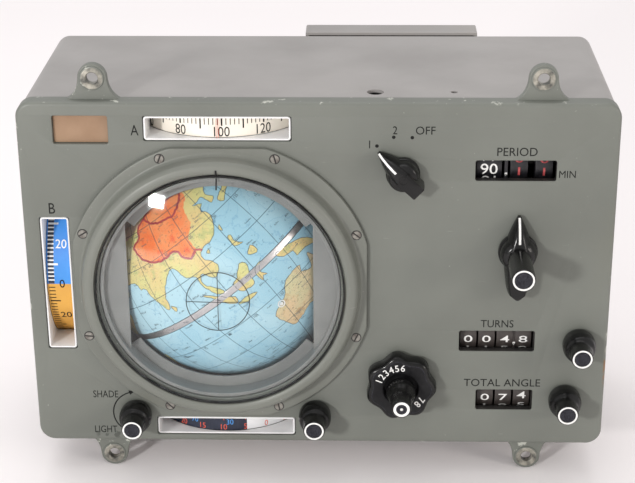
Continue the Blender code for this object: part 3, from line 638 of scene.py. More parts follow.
PANEL_CORNER = 9.0
PANEL_EDGE = 2.2
PANEL_DEPTH = 10.0
PLATE = 5.0
WINDOW_EDGE = 0.45
DOME_HOLE = 68.2
WINDOWS = {  # low x, high x, low z, high z
    "longitude": (-95.3, -14.0, 82.6, 97.0),
    "latitude": (-156.0, -139.2, -44.6, 37.4),
    "light": (-95.3, -13.8, -100.5, -88.7),
    "blank": (-145.0, -114.5, 80.8, 97.1),
    "period": (86.7, 131.1, 60.1, 72.0),
    "turns": (80.4, 123.5, -44.4, -31.5),
    "angle": (91.0, 123.7, -82.3, -69.3),
}
WINDOW_CORNER = 1.2


def front_panel():
    shape = Shape()

    def outer(inset, y):
        return rounded(-PANEL_W, PANEL_W, -PANEL_H, PANEL_H, PANEL_CORNER, y, -inset, 12)

    def inner(y):
        rim = 4.0
        wide, tall = PANEL_W - rim, PANEL_H - rim
        return rounded(-wide, wide, -tall, tall, PANEL_CORNER - rim, y)

    def hole(window, grow, y):
        return rounded(*window, WINDOW_CORNER, y, grow, 5)

    def dome(grow, y):
        return ring(DOME_HOLE + grow, y, 128, (RING.x, RING.z))

    edge = quarter(WINDOW_EDGE, 3)
    front_holes = [hole(window, WINDOW_EDGE, 0) for window in WINDOWS.values()]
    shape.sheet(outer(PANEL_EDGE, 0), dome(WINDOW_EDGE, 0), *front_holes)
    shape.loft([outer(inset, y) for inset, y in quarter(PANEL_EDGE, 6)])
    shape.loft([outer(0, PANEL_EDGE), outer(0, PANEL_DEPTH)])
    shape.sheet(outer(0, PANEL_DEPTH), inner(PANEL_DEPTH))
    shape.loft([inner(PANEL_DEPTH), inner(PLATE)])
    for name, window in WINDOWS.items():
        reveal = 2 if name in COUNTER_DIGITS else 0
        shape.loft([hole(window, inset, y) for inset, y in edge])
        shape.loft([hole(window, 0, WINDOW_EDGE), hole(window, 0, PLATE)], reveal, smooth=False)
    shape.loft([dome(inset, y) for inset, y in edge])
    shape.loft([dome(0, WINDOW_EDGE), dome(0, PLATE)])
    shape.sheet(inner(PLATE), dome(0, PLATE), *(hole(window, 0, PLATE) for window in WINDOWS.values()))
    for x in (-EAR_X, EAR_X):
        for flip in (-1, 1):
            ear(shape, x, flip)
    finishes = [PANEL_PAINT, BARE, BLACK_PAINT_AND_SHADE]
    make(shape, "panel_plate", finishes, "case", "panel_paint", replaces=["front_panel"])


EAR_X = 122.46
EAR_Z = 116.7
EAR_TIP = 8.0
EAR_BASE = 15.0
EAR_FRONT = 6.0
EAR_HOLE = 3.3
EAR_BOSS = 6.8
ARROW_RADIUS = 13.6
MODE_DOTS = ((32.6, 80.3), (41.7, 85.4), (51.8, 85.2))
LABELS = [  # text, middle x, middle z, height, squeeze
    ("A", -99.8, 89.0, 6.0, 0.75),
    ("B", -148.2, 42.8, 6.4, 0.8),
    ("2", 42.4, 89.4, 4.6, 0.85),
    ("1", 28.6, 81.2, 4.6, 0.85),
    ("OFF", 59.0, 89.3, 4.6, 0.95),
    ("PERIOD", 109.2, 77.2, 4.8, 0.95),
    ("MIN", 137.0, 64.2, 4.2, 0.9),
    ("TURNS", 101.8, -26.8, 4.6, 0.9),
    ("TOTAL ANGLE", 105.9, -64.6, 4.7, 0.98),
    ("SHADE", -124.6, -73.9, 4.5, 0.74),
    ("LIGHT", -125.6, -97.2, 4.5, 0.74),
]


def ear_loop(x, flip, inset, y):
    """From the base up a hollow side, round the tip and down the other side."""
    side = []
    steps = 8
    for i in range(steps):
        t = i / steps
        across = (1 - t) ** 2 * EAR_BASE + 2 * t * (1 - t) * (EAR_TIP + 0.6) + t * t * EAR_TIP
        up = (1 - t) ** 2 * (PANEL_H - 0.3) + 2 * t * (1 - t) * (PANEL_H + 3) + t * t * EAR_Z
        side.append((across - inset, up))
    radius = EAR_TIP - inset
    tip = [(radius * cos(a), EAR_Z + radius * sin(a)) for a in (pi * i / 24 for i in range(25))]
    root = EAR_BASE - inset
    mirrored = [(-u, v) for u, v in reversed(side)]
    points = [(root, PANEL_H - 2.0), *side, *tip, *mirrored, (-root, PANEL_H - 2.0)]
    return [Vector((x + u, y, v * flip)) for u, v in points]


def ear(shape, x, flip):
    at = (x, flip * EAR_Z)
    edge = 0.7
    rise = EAR_FRONT - 0.8
    shape.sheet(ear_loop(x, flip, edge, EAR_FRONT), ring(EAR_BOSS, EAR_FRONT, 48, at))
    shape.loft([ear_loop(x, flip, inset, EAR_FRONT + y) for inset, y in quarter(edge, 4)])
    shape.loft([ear_loop(x, flip, 0, EAR_FRONT + edge), ear_loop(x, flip, 0, PANEL_DEPTH)])
    shape.sheet(ear_loop(x, flip, 0, PANEL_DEPTH), ring(EAR_HOLE, PANEL_DEPTH, 48, at))
    boss = [(EAR_BOSS, EAR_FRONT), (EAR_BOSS - 0.3, EAR_FRONT - 0.65), (EAR_BOSS - 0.8, rise)]
    shape.turned(boss, 0, 48, at)
    bare = [(EAR_BOSS - 0.8, rise), (EAR_HOLE + 0.4, rise), (EAR_HOLE, EAR_FRONT - 0.4)]
    shape.turned(bare, 1, 48, at)
    shape.turned([(EAR_HOLE, EAR_FRONT - 0.4), (EAR_HOLE, PANEL_DEPTH)], 1, 48, at)


def panel_labels():
    """Cut and filled lettering: generic words, letters and marks."""
    shape = Shape()
    for text, x, z, height, squeeze in LABELS:
        put(shape, lettering(text, height, squeeze), (x, z), on_panel)
    for spot in MODE_DOTS:
        put(shape, disc(1.0, 24), spot, on_panel)
    knob = pivot("brightness_turn")
    line = []
    for i in range(25):
        a = radians(226 - 120 * i / 24)
        line.append((knob.x + ARROW_RADIUS * cos(a), knob.z + ARROW_RADIUS * sin(a)))
    ribbon(shape, [on_panel(u, v) for u, v in line], 0.75, forward)
    end = Vector(line[-1])
    along = (end - Vector(line[-2])).normalized()
    across = Vector((-along.y, along.x))
    head = [end + along * 3.6, end + across * 1.5, end - across * 1.5]
    shape.add([on_panel(p.x, p.y) for p in head], [(0, 1, 2)], smooth=False)
    make(shape, "panel_labels", [BLACK_INK], "case", "panel_paint")


def ribbon(shape, line, width, normal, kind=0, closed=False):
    """A flat strip along a line of points, lying in the surface whose normal is given."""
    left, right = [], []
    count = len(line)
    for i, point in enumerate(line):
        before = line[i - 1] if i or closed else point
        after = line[(i + 1) % count] if i < count - 1 or closed else point
        along = (after - before).normalized()
        across = along.cross(normal(point)).normalized() * width / 2
        left.append(point + across)
        right.append(point - across)
    last = count if closed else count - 1
    faces = [(i, (i + 1) % count, count + (i + 1) % count, count + i) for i in range(last)]
    shape.add(left + right, faces, kind)


# Rear case ----------------------------------------------------------------------------------------

CASE_WALL = 2.0
SOCKET = 13.0
SOCKET_SCREW = 12.2


def tray(low, high, corner, back_corner, wall):
    """A deep box open at the front, its walls and its back one thickness."""
    shape = Shape()

    def loop(inset, y):
        return rounded(low.x, high.x, low.z, high.z, corner, y, -inset, 8)

    bend = quarter(back_corner, 8)
    outside = [loop(inset, high.y - y) for inset, y in bend]
    shape.sheet(outside[0])
    shape.loft(outside)
    shape.loft([outside[-1], loop(0, low.y + 0.4), loop(0.4, low.y)])
    shape.sheet(loop(0.4, low.y), loop(wall, low.y))
    shape.loft([loop(wall, low.y), loop(wall, high.y - back_corner), loop(back_corner, high.y - wall)])
    shape.sheet(loop(back_corner, high.y - wall))
    return shape


def bore(thing, holes):
    """Cuts upright holes, each (x, y, radius), through a piece's top wall."""
    for x, y, radius in holes:
        tool = bmesh.new()
        place = Matrix.Translation(DATUM + Vector((x, y, PANEL_H - 3)) * MM)
        size = {"radius1": radius * MM, "radius2": radius * MM, "depth": 10 * MM}
        bmesh.ops.create_cone(tool, cap_ends=True, segments=48, matrix=place, **size)
        mesh = bpy.data.meshes.new("bore")
        tool.to_mesh(mesh)
        tool.free()
        cutter = placed("bore", mesh)
        thing.modifiers.new("bore", "BOOLEAN").object = cutter
        cut = evaluated(thing)
        thing.modifiers.clear()
        thing.data = cut
        bpy.data.objects.remove(cutter)
    thing.data.set_sharp_from_angle(angle=radians(SHARP))


def rear_case():
    low, high = span("rear_case")
    shape = tray(low, high, PANEL_CORNER - 1, 10.0, CASE_WALL)
    case = make(shape, "case_shell", [CASE_PAINT], "case", "case_paint", replaces=["rear_case"])
    bore(case, [(31.7, 22.6, 4.7), (75.2, 23.0, 2.0)])
    low, high = span("connector_box")
    shape = tray(low, high, 0.8, 6.0, CASE_WALL)
    make(shape, "connector_cover", [CASE_PAINT], "case", "case_paint", replaces=["connector_box"])


def rear_connectors():
    face = span("connector_box")[1].y + 0.3
    flange = face + 2.0
    for i in (1, 2):
        node = f"rear_connector_{i}"
        low, high = span(node)
        at = ((low.x + high.x) / 2, 0, (low.z + high.z) / 2)
        half = (high.x - low.x) / 2
        back = high.y
        well = back - 1.2
        shape = Shape()

        def plate(inset, y):
            return rounded(-half, half, -half, half, 2.5, y, -inset)

        shape.sheet(plate(0, face))
        shape.loft([plate(0, face), plate(0, flange - 0.3), plate(0.3, flange)])
        shape.sheet(plate(0.3, flange))
        barrel = [(SOCKET, flange - 0.1), (SOCKET, flange + 0.8)]
        for k in range(5):
            thread = flange + 0.9 + k * 0.75
            barrel += [(SOCKET - 0.55, thread), (SOCKET, thread + 0.35)]
        barrel += [(SOCKET, back - 0.5), (SOCKET - 0.4, back), (SOCKET - 1.3, back)]
        barrel += [(SOCKET - 1.6, back - 0.3), (SOCKET - 1.6, back - 1.4)]
        shape.turned(barrel)
        name = f"socket_shell_{i}"
        make(shape, name, [PLATED], "case", "connector_metal", at=at, replaces=[node], sharp=25)
        insert = Shape()
        insert.turned([(0, well), (11.3, well)])
        pin = [(0.75, well), (0.75, back - 0.3), (0.4, back - 0.05), (0, back - 0.05)]
        for count, radius in ((3, 3.2), (8, 7.6)):
            for k in range(count):
                a = 2 * pi * k / count + 0.3
                insert.turned(pin, 1, 16, (radius * cos(a), radius * sin(a)))
        make(insert, f"socket_insert_{i}", [PHENOLIC, BRASS], "case", "brown_phenolic", at=at)
        screws = Shape()
        head = [(1.9, flange), (1.9, flange + 0.7), (1.3, flange + 1.1), (0, flange + 1.2)]
        for u in (-SOCKET_SCREW, SOCKET_SCREW):
            for v in (-SOCKET_SCREW, SOCKET_SCREW):
                screws.turned(head, 0, 24, (u, v))
        make(screws, f"socket_screws_{i}", [STEEL], "case", "steel", at=at)


# Dome ---------------------------------------------------------------------------------------------

DOME_RADIUS = 176.0
DOME_WALL = 2.5
DOME_EDGE = 69.0
RING_FLAT = 82.3
SCREW_CIRCLE = 82.8
SCREW_HEAD = 2.35
SCREW_SLOT = 0.42  # half the slot's width
RING_AT = (RING.x, 0, RING.z)
FLANGE = -3.0  # the front of the ring's flange
SIGHT_RADIUS = 17.6
MASK_BORE = 59.2


def dome_y(radius, inner=False):
    """How far forward the dome's outer or inner surface lies at a radius."""
    wall = DOME_WALL if inner else 0
    sphere = DOME_RADIUS - wall
    return span("dome_window")[0].y + wall + sphere - sqrt(sphere**2 - radius**2)


def dome_ring():
    """A turned ring with a flange whose four sides are cut flat."""
    shape = Shape()
    profile = [
        (68.0, -0.3), (68.0, -9.2), (70.6, -9.2), (70.6, -12.0), (73.0, -13.0), (75.8, -12.4),
        (77.6, -10.4), (78.4, -5.0), (79.6, FLANGE), (86.5, FLANGE), (86.5, -0.3),
    ]
    loops = []
    for radius, y in soften(profile, 0.9):
        loop = []
        for u, v in circle(1.0, 256):
            reach = min(radius, RING_FLAT / max(abs(u), abs(v)))
            loop.append(Vector((reach * u, y, reach * v)))
        loops.append(loop)
    shape.loft(loops)
    shape.loft([loops[-1], loops[0]], smooth=False)
    make(
        shape, "dome_bezel", [RING_PAINT], "case", "panel_paint",
        at=RING_AT, replaces=["dome_ring"], sharp=40,
    )
    tick = Shape()
    tick.block((-0.45, -13.35, 69.6), (0.45, -11.4, 73.4), 0.1)
    make(tick, "index_tick", [BLACK_INK], "case", "panel_paint", at=RING_AT)


def ring_screws():
    """Heads in two halves, with the slot between them, each turned its own way. A flat black disc
    behind the slot is painted shade for the slot's depth, and a flat black ring round each head is
    painted shade for the recess it sits in.
    """
    start = asin(SCREW_SLOT / SCREW_HEAD)
    angles = [start + (pi - 2 * start) * k / 24 for k in range(25)]
    for i in range(1, 9):
        shape = Shape()
        for side in (-1, 1):
            rim = [(SCREW_HEAD * cos(b), SCREW_HEAD * sin(b) * side) for b in angles]
            front, back = ([Vector((u, y, v)) for u, v in rim] for y in (FLANGE - 0.3, FLANGE))
            shape.sheet(front)
            shape.loft([front, back], smooth=False)
        # Painted shade: a black disc seen through the slot, and a black ring round the head.
        shape.turned([(2.3, FLANGE - 0.02), (0, FLANGE - 0.02)], 1, 24)
        shape.turned([(2.95, FLANGE - 0.03), (2.0, FLANGE - 0.03)], 1, 32)
        a = radians(45 * i - 22.5)
        spot = (RING.x + SCREW_CIRCLE * cos(a), 0, RING.z + SCREW_CIRCLE * sin(a))
        make(
            shape, f"bezel_screw_{i}", [DULL_STEEL, BLACK_PAINT_AND_SHADE], "case", "steel",
            at=spot, turn=Matrix.Rotation(radians(37.0 * i), 4, "Y"), replaces=[f"ring_screw_{i}"],
        )


def dome_window():
    shape = Shape()
    radii = [DOME_EDGE * i / 40 for i in range(41)]
    outside = [(r, dome_y(r)) for r in radii]
    inside = [(r, dome_y(r, True)) for r in radii]
    shape.turned(outside + inside[::-1], 0, 160)
    make(shape, "dome_glass", [DOME], "case", "clear_dome", at=RING_AT, replaces=["dome_window"])
    bead = Shape()
    corners = [(69.3, -10.6), (69.3, -12.4), (70.1, -12.4), (70.1, -10.6), (69.3, -10.6)]
    bead.turned(soften(corners, 0.3), 0, 192)
    make(
        bead, "gasket_bead", [RUBBER], "case", "black_rubber", at=RING_AT, replaces=["dome_gasket"]
    )
    sight = Shape()

    def under_dome(u, v):
        return Vector((u, dome_y(hypot(u, v), True) + PRINT + 0.04, v))

    round_sight = [under_dome(u, v) for u, v in circle(SIGHT_RADIUS, 120)]
    ribbon(sight, round_sight, 0.5, forward, closed=True)
    along = [SIGHT_RADIUS * (i / 20 - 1) for i in range(41)]
    for turn in (0, pi / 2):
        ribbon(sight, [under_dome(t * cos(turn), t * sin(turn)) for t in along], 0.42, forward)
    ribbon(sight, [under_dome(0, 62.0 + i) for i in range(7)], 0.9, forward)
    make(sight, "sight_lines", [BLACK_INK], "case", "clear_dome", at=RING_AT)


def globe_mask():
    """A ring behind the dome, with a step above and below and a flat shade at either side."""
    shape = Shape()
    outer, inner, shade_edge = 67.6, 65.4, 52.3
    corners = [(inner, -5.0), (inner, -8.6), (outer, -8.6), (outer, 2.0), (inner, 2.0), (inner, -5.0)]
    shape.turned(soften(corners, 0.5), 0, 160)
    step = [(inner + 0.1, 1.0), (MASK_BORE, 1.0), (MASK_BORE, 1.9), (inner + 0.1, 1.9)]
    for facing in (-pi / 2, pi / 2):
        sector = [facing + radians(2 * i - 54) for i in range(55)]
        loops = [[Vector((r * cos(a), y, r * sin(a))) for a in sector] for r, y in step]
        shape.loft(loops, smooth=False, closed=False)
    reach = outer - 0.8
    half = acos(shade_edge / reach)
    for facing in (0, pi):
        arc = [facing - half + 2 * half * i / 32 for i in range(33)]
        front = [Vector((reach * cos(a), -5.2, reach * sin(a))) for a in arc]
        back = [point + Vector((0, 1.2, 0)) for point in front]
        shape.sheet(front)
        shape.loft([front, back], smooth=False)
        shape.sheet(back)
    make(shape, "shade_mask", [MASK], "case", "mask_grey", at=RING_AT, replaces=["globe_mask"])


# Globe --------------------------------------------------------------------------------------------

EQUATOR_HALF = 1.85
FINE_WELD = 0.0001
NAME_COUNT = 190
MARKERS = [(145.0, 27.0, 1.9, 2), (119.0, -20.0, 2.0, 1)]  # longitude, latitude, radius, kind

# Outlines as (longitude, latitude), coarse and smoothed when drawn.
EURASIA = [
    (-9, 37), (-9, 43), (-2, 43), (-4, 48), (2, 50), (8, 54), (8, 57), (10, 54), (19, 54), (24, 58),
    (28, 59.5), (21, 61), (25, 65.5), (18, 62), (13, 55.5), (11, 59), (5, 60), (12, 66), (25, 71),
    (40, 67), (34, 66), (44, 66), (54, 68.5), (68, 68.5), (72, 73), (80, 72.5), (104, 77.5),
    (127, 73), (150, 71), (180, 68.5), (190, 66), (177, 62), (163, 59.5), (162, 56), (157, 51),
    (156, 57), (160, 61), (142, 59), (135, 54.5), (140, 52), (136, 44.5), (131, 43), (127.5, 39),
    (129.5, 36), (126.5, 34.5), (125, 39.5), (121.5, 39), (118, 39), (122.5, 37), (119.5, 35),
    (121.8, 31), (118.5, 25), (114, 22.3), (108, 21.5), (106, 18.5), (109, 14), (109, 11.5),
    (105, 8.8), (102.5, 12), (100.5, 13.3), (99.2, 10), (100.7, 7), (103.4, 4), (104, 1.4),
    (101, 3), (98.3, 8.5), (98.3, 14), (94.3, 16), (91.5, 22.5), (86.8, 21), (82.3, 16.7), (80, 13),
    (79.5, 10), (77.5, 8), (76, 11), (73.2, 17), (72, 21), (69, 21.5), (66.5, 25), (57, 26),
    (50, 30), (50, 26.5), (54, 24), (56.3, 26), (59.8, 22.5), (52, 16), (44, 12.8), (42.5, 16.5),
    (35, 28), (34.3, 31.3), (36, 36), (27.5, 36.8), (29, 41), (41, 41.5), (37, 45.5), (31, 46.5),
    (28, 42), (24, 39), (22.5, 36.5), (19, 42), (13, 45.5), (18, 40), (15.8, 38), (12, 41.8),
    (8, 44), (3, 42), (-1, 37.5), (-5.5, 36.1),
]
AFRICA = [
    (-6, 35.8), (10, 37.3), (11, 33.5), (20, 31), (32, 31.3), (35.5, 24), (39.5, 15.5),
    (43.2, 11.7), (51, 11.8), (42, -1), (39, -6), (40.7, -14.5), (35, -20), (32, -29), (27, -33.5),
    (19, -34.6), (15, -27), (12, -18), (13.5, -10), (9, -1), (9.5, 4), (2, 6.3), (-7.5, 4.4),
    (-13, 8.5), (-17, 14.7), (-16.5, 21), (-10, 29),
]
NORTH_AMERICA = [
    (-168, 65.7), (-165, 68.5), (-156, 71.3), (-128, 70.5), (-95, 68), (-85, 69.5), (-86, 66.5),
    (-94, 61), (-92, 57), (-82, 55), (-79.5, 51.3), (-77, 57.5), (-78, 62.3), (-64.5, 60),
    (-56, 52.5), (-66, 50.2), (-61, 46), (-70, 43), (-74, 40.5), (-76, 36), (-81, 31.5),
    (-80.5, 25.5), (-84, 30), (-95, 29), (-97, 22), (-91, 18.6), (-87, 21.5), (-88.5, 16),
    (-83.5, 12), (-77.5, 8.5), (-85, 10.5), (-94, 16), (-105, 20), (-113, 31), (-110, 23.5),
    (-117, 33), (-124, 40.4), (-124, 48), (-134, 58), (-148, 60), (-158, 56.5), (-164, 55),
    (-157, 59), (-165, 62),
]
SOUTH_AMERICA = [
    (-77.5, 8), (-72, 12), (-62, 10.7), (-51.5, 4.3), (-44, -2.7), (-35.3, -6), (-39, -14),
    (-42, -22.5), (-48.5, -26), (-54.5, -34.8), (-62, -39), (-66, -46), (-68.5, -53), (-73, -53.5),
    (-75, -47), (-71.5, -31), (-70.3, -19), (-76, -14), (-81.2, -5), (-79, 1),
]
ANTARCTICA = [
    (-180, -77), (-150, -76), (-100, -73), (-62, -67), (-60, -76), (-20, -73), (40, -69), (90, -66),
    (140, -67), (170, -74), (180, -77), (180, -90), (-180, -90),
]
AUSTRALIA = [
    (114, -22), (113.6, -26), (115.7, -32), (118, -35), (123.5, -33.9), (131, -31.5),
    (135.5, -34.8), (140.5, -38), (146.3, -39), (150, -37.5), (153.2, -29), (149, -20.5),
    (145.3, -15), (142.5, -10.8), (140.5, -17.3), (135.5, -15), (136.5, -12.2), (130.5, -12),
    (125.5, -14), (122.3, -18),
]
ISLANDS = [
    [(-73, 78.3), (-33, 83.5), (-12, 81.5), (-22, 71), (-40, 65), (-44, 60), (-54, 68),
     (-58, 75.5)],
    [(131, -0.8), (138, -1.8), (145, -4.5), (150.7, -10.5), (143.5, -8.5), (138, -8.2), (138, -5.5),
     (133, -4)],
    [(109, 1.5), (112, 3), (116.5, 7), (119, 5.2), (117, 0.5), (116, -3.8), (110.2, -3)],
    [(95.3, 5.6), (98, 4), (103.5, -1), (106, -3), (105.5, -5.8), (102, -4), (98.7, 1.7)],
    [(105.3, -6.4), (110.8, -6.2), (114.4, -7.8), (110, -8.4), (106.5, -7.6)],
    [(119.7, 0.5), (124, 1.8), (121, -1), (123, -4.5), (121, -3.5), (120, -5.7), (119, -3)],
    [(120.5, 18.5), (122.2, 18.4), (121.8, 15), (124, 12.6), (120.4, 14)],
    [(122, 7.4), (125.5, 9.8), (126.5, 7.5), (125.3, 5.7)],
    [(131, 34.2), (136, 36), (139.8, 38.8), (141, 41.4), (140.9, 36), (135.6, 33.5), (131.5, 31.2),
     (129.8, 33)],
    [(140.2, 42), (141.7, 45.4), (145.3, 43.5), (143, 42)],
    [(142.3, 54.2), (143.6, 50), (142.4, 46)],
    [(79.8, 9.5), (81.8, 7.3), (80.5, 5.9), (79.7, 7.5)],
    [(121.6, 25.2), (120.9, 22), (120, 23.5)],
    [(108.7, 19.3), (110.8, 20), (110, 18.3)],
    [(49.3, -12), (50.3, -15.5), (47, -25), (44, -22)],
    [(172.8, -34.5), (178.3, -37.8), (175.3, -41.5), (174, -38)],
    [(172.7, -40.6), (173, -43), (169, -46.5), (167, -45)],
    [(-5.5, 50), (1.4, 51.5), (-2, 56), (-4, 58.6), (-5.5, 55), (-3.4, 53)],
    [(-24, 65.6), (-18, 66.3), (-14, 65), (-19, 63.4)],
    [(-84.5, 22), (-80, 23), (-75, 20.3)],
    [(-78, 73), (-62, 66.5), (-66, 62.5), (-78, 66), (-85, 72)],
    [(-90, 77), (-80, 82.5), (-62, 82), (-77, 77)],
    [(-117, 70), (-105, 72.8), (-101, 69)],
]
HIGH_LANDS = [
    (87.5, 49), (98, 52), (107, 49.8), (117, 49.5), (118, 45), (113, 40), (111, 33), (106, 29),
    (106, 23), (101.5, 21.5), (98.6, 24.5), (98, 28), (88.5, 28), (81, 30), (75, 36.5), (74, 39.5),
    (80, 42), (80.5, 45.5),
]
NORTH_LANDS = [
    (50, 67), (75, 70), (104, 75), (125, 71), (150, 69), (165, 67), (175, 64), (160, 62), (141, 61),
    (134, 55), (127, 51.5), (120, 53.5), (107, 51), (98, 53), (87, 50.5), (79, 46), (70, 44),
    (60, 46), (52, 52),
]
INNER_LINES = [
    [(74, 39), (80, 42), (80.5, 45.5), (87.5, 49), (98, 52), (107, 49.8), (117, 49.5), (120, 53),
     (127, 50), (134, 48)],
    [(87.5, 49), (91, 45), (97, 42.7), (105, 41.6), (111, 43.5), (116, 47), (117, 49.5)],
    [(74, 39), (78, 33), (83, 29.5), (89, 27.8), (97, 28.2), (98.6, 24.5), (101.5, 21.5),
     (105.5, 23.2), (108, 21.5)],
]


def spot_on_globe(longitude, latitude, lift=0.0):
    """A point in the globe's own axes: x faces the front at the middle longitude, z is north."""
    a, b = radians(longitude - FACING_LONGITUDE), radians(latitude)
    radius = GLOBE_RADIUS + lift
    return Vector((radius * cos(b) * cos(a), radius * cos(b) * sin(a), radius * sin(b)))


def natural(line, closed, wander=0.55, step=1.1):
    """A smooth curve through an outline's points, ragged like a coast."""
    count = len(line)
    out = []
    for i in range(count if closed else count - 1):
        near = range(i - 1, i + 3)
        p = [Vector(line[k % count if closed else min(max(k, 0), count - 1)]) for k in near]
        pieces = max(2, int((p[2] - p[1]).length / step))
        for k in range(pieces):
            t = k / pieces
            curve = (
                p[1] * 2
                + (p[2] - p[0]) * t
                + (p[0] * 2 - p[1] * 5 + p[2] * 4 - p[3]) * t**2
                + (p[1] * 3 - p[0] - p[2] * 3 + p[3]) * t**3
            ) / 2
            blown = noise.noise_vector(Vector((curve.x * 0.55, curve.y * 0.55, 3.0)))
            out.append((curve.x + blown.x * wander, curve.y + blown.y * wander))
    if not closed:
        out.append(tuple(line[-1]))
    return out


def inside(point, outline):
    hit = False
    for (ax, ay), (bx, by) in zip(outline, outline[1:] + outline[:1]):
        spans = (ay > point[1]) != (by > point[1])
        if spans and point[0] < (bx - ax) * (point[1] - ay) / (by - ay) + ax:
            hit = not hit
    return hit


def printed_patch(shape, outline, lift, kind, grid=1.9, wander=0.55):
    line = natural(outline, True, wander) if wander else outline
    west, east = min(x for x, _ in line), max(x for x, _ in line)
    south, north = min(y for _, y in line), max(y for _, y in line)
    extra = []
    for i in range(1, int((east - west) / grid) + 1):
        for k in range(1, int((north - south) / grid) + 1):
            point = (west + i * grid, south + k * grid)
            if inside(point, line):
                extra.append(point)
    points = [Vector(point) for point in line + extra]
    found, _, faces, *_ = delaunay_2d_cdt(points, [], [list(range(len(line)))], 1, 1e-5)
    shape.add([spot_on_globe(p.x, p.y, lift) for p in found], faces, kind)
    return line


def upward(point):
    return point.normalized()


def map_near(longitude, latitude, lift):
    """For figures on the map: millimetres right and up of a place to a point on the globe."""

    def near(u, v):
        east = degrees(u / (GLOBE_RADIUS * cos(radians(latitude))))
        return spot_on_globe(longitude + east, latitude + degrees(v / GLOBE_RADIUS), lift)

    return near


def on_globe(shape, name, finishes, body="earth_globe", slot="globe_print", **more):
    make(shape, name, finishes, body, slot, at=GLOBE, turn=GLOBE_TURN, **more)


def hemispheres():
    low = asin((EQUATOR_HALF + 0.3) / GLOBE_RADIUS)
    for name, side in (("north", 1), ("south", -1)):
        loops = [[Vector((0, 0, side * GLOBE_RADIUS))]]
        for i in range(1, 65):
            b = pi / 2 - (pi / 2 - low) * i / 64
            up = GLOBE_RADIUS * sin(b) * side
            loops.append([Vector((u, v, up)) for u, v in circle(GLOBE_RADIUS * cos(b), 256)])
        loops.append([Vector((p.x * 0.973, p.y * 0.973, p.z)) for p in loops[-1]])
        shape = Shape()
        shape.loft(loops)
        on_globe(shape, f"globe_sea_{name}", [OCEAN], replaces=[f"globe_{name}"], sharp=60)


def globe_print():
    """Lands over the sea, coasts and inner lines over the lands, and figures over all."""
    lands, coasts, marks = Shape(), Shape(), Shape()
    outlines = [(EURASIA, 0, 0.55), (AFRICA, 0, 0.55), (NORTH_AMERICA, 0, 0.55)]
    outlines += [(SOUTH_AMERICA, 0, 0.55), (AUSTRALIA, 1, 0.55), (ISLANDS[0], 2, 0.4)]
    outlines += [(outline, 0, 0.4) for outline in ISLANDS[1:]]
    for outline, kind, wander in outlines:
        coast = printed_patch(lands, outline, 0.07, kind, wander=wander)
        ribbon(coasts, [spot_on_globe(*p, 0.13) for p in coast], 0.28, upward, closed=True)
    printed_patch(lands, ANTARCTICA, 0.07, 2, wander=0)
    printed_patch(lands, HIGH_LANDS, 0.11, 3, wander=0.9)
    printed_patch(lands, NORTH_LANDS, 0.11, 4, wander=0.8)
    for line in INNER_LINES:
        drawn = [spot_on_globe(*p, 0.15) for p in natural(line, False, 0.7)]
        ribbon(coasts, drawn, 1.25, upward, kind=1)
    on_globe(lands, "globe_lands", [LAND, SANDLAND, ICELAND, HIGHLAND, NORTHLAND], weld=FINE_WELD)
    on_globe(coasts, "globe_coasts", [INK, DARK_RED], weld=FINE_WELD)
    for longitude in range(-180, 180, 15):
        figure = lettering(str(abs(longitude)), 1.9, 0.8)
        for latitude in (-15, 30, 60, -45):
            put(marks, figure, (2.4, -1.5), map_near(longitude, latitude, 0.17), step=1.5)
    small_names(marks)
    for longitude, latitude, radius, kind in MARKERS:
        about = map_near(longitude, latitude, 0.17)
        edge = [about(u, v) for u, v in circle(radius, 32)]
        ribbon(marks, edge, 0.7, upward, kind=1, closed=True)
        put(marks, disc(radius * 0.55, 24), (0, 0), about, kind)
    on_globe(marks, "globe_figures", [INK, WHITE_INK, RED_INK], weld=FINE_WELD)


def small_names(shape):
    """Rows of short strokes that read as a map's small print without spelling anything."""
    for k in range(NAME_COUNT):
        roll = [noise.cell(Vector((k * 1.37 + 0.5, i * 2.11 + 0.5, 7.5))) for i in range(14)]
        roll = [abs(value) % 1.0 for value in roll]
        near = map_near(30 + 150 * roll[0], degrees(asin(-0.75 + 1.65 * roll[1])), 0.16)
        size = 0.75 + 0.55 * roll[2]
        for i in range(3 + int(6 * roll[3])):
            tall = size * (1.0 if i == 0 else 0.62 + 0.38 * (roll[4 + i] > 0.7))
            at = (i * size * 0.72, tall / 2)
            cross = (at[0] + 0.1, tall * (0.2 + 0.6 * roll[4 + i]))
            put(shape, bar(0.2 + 0.12 * roll[5 + i % 8], tall), at, near)
            put(shape, bar(size * 0.42, 0.16), cross, near)


def equator_band():
    shape = Shape()
    outer, inner, hole = GLOBE_RADIUS + 0.12, 70.0, 4.8
    half = EQUATOR_HALF
    profile = soften([(inner, -half), (outer, -half), (outer, half), (inner, half)], 0.3)
    shape.loft([[Vector((u, v, up)) for u, v in circle(radius, 256)] for radius, up in profile])
    for up in (-half, half):
        shape.sheet(*([Vector((u, v, up)) for u, v in circle(r, 64)] for r in (inner, hole)))
    on_globe(
        shape, "equator_band", [SILVER], "orbit_frame", "silver_band", replaces=["equator_plate"]
    )


# Scales -------------------------------------------------------------------------------------------

LONGITUDE_READING = 98.0
LATITUDE_ZERO = -1.8  # degrees round the drum
LATITUDE_UNIT = 1.36


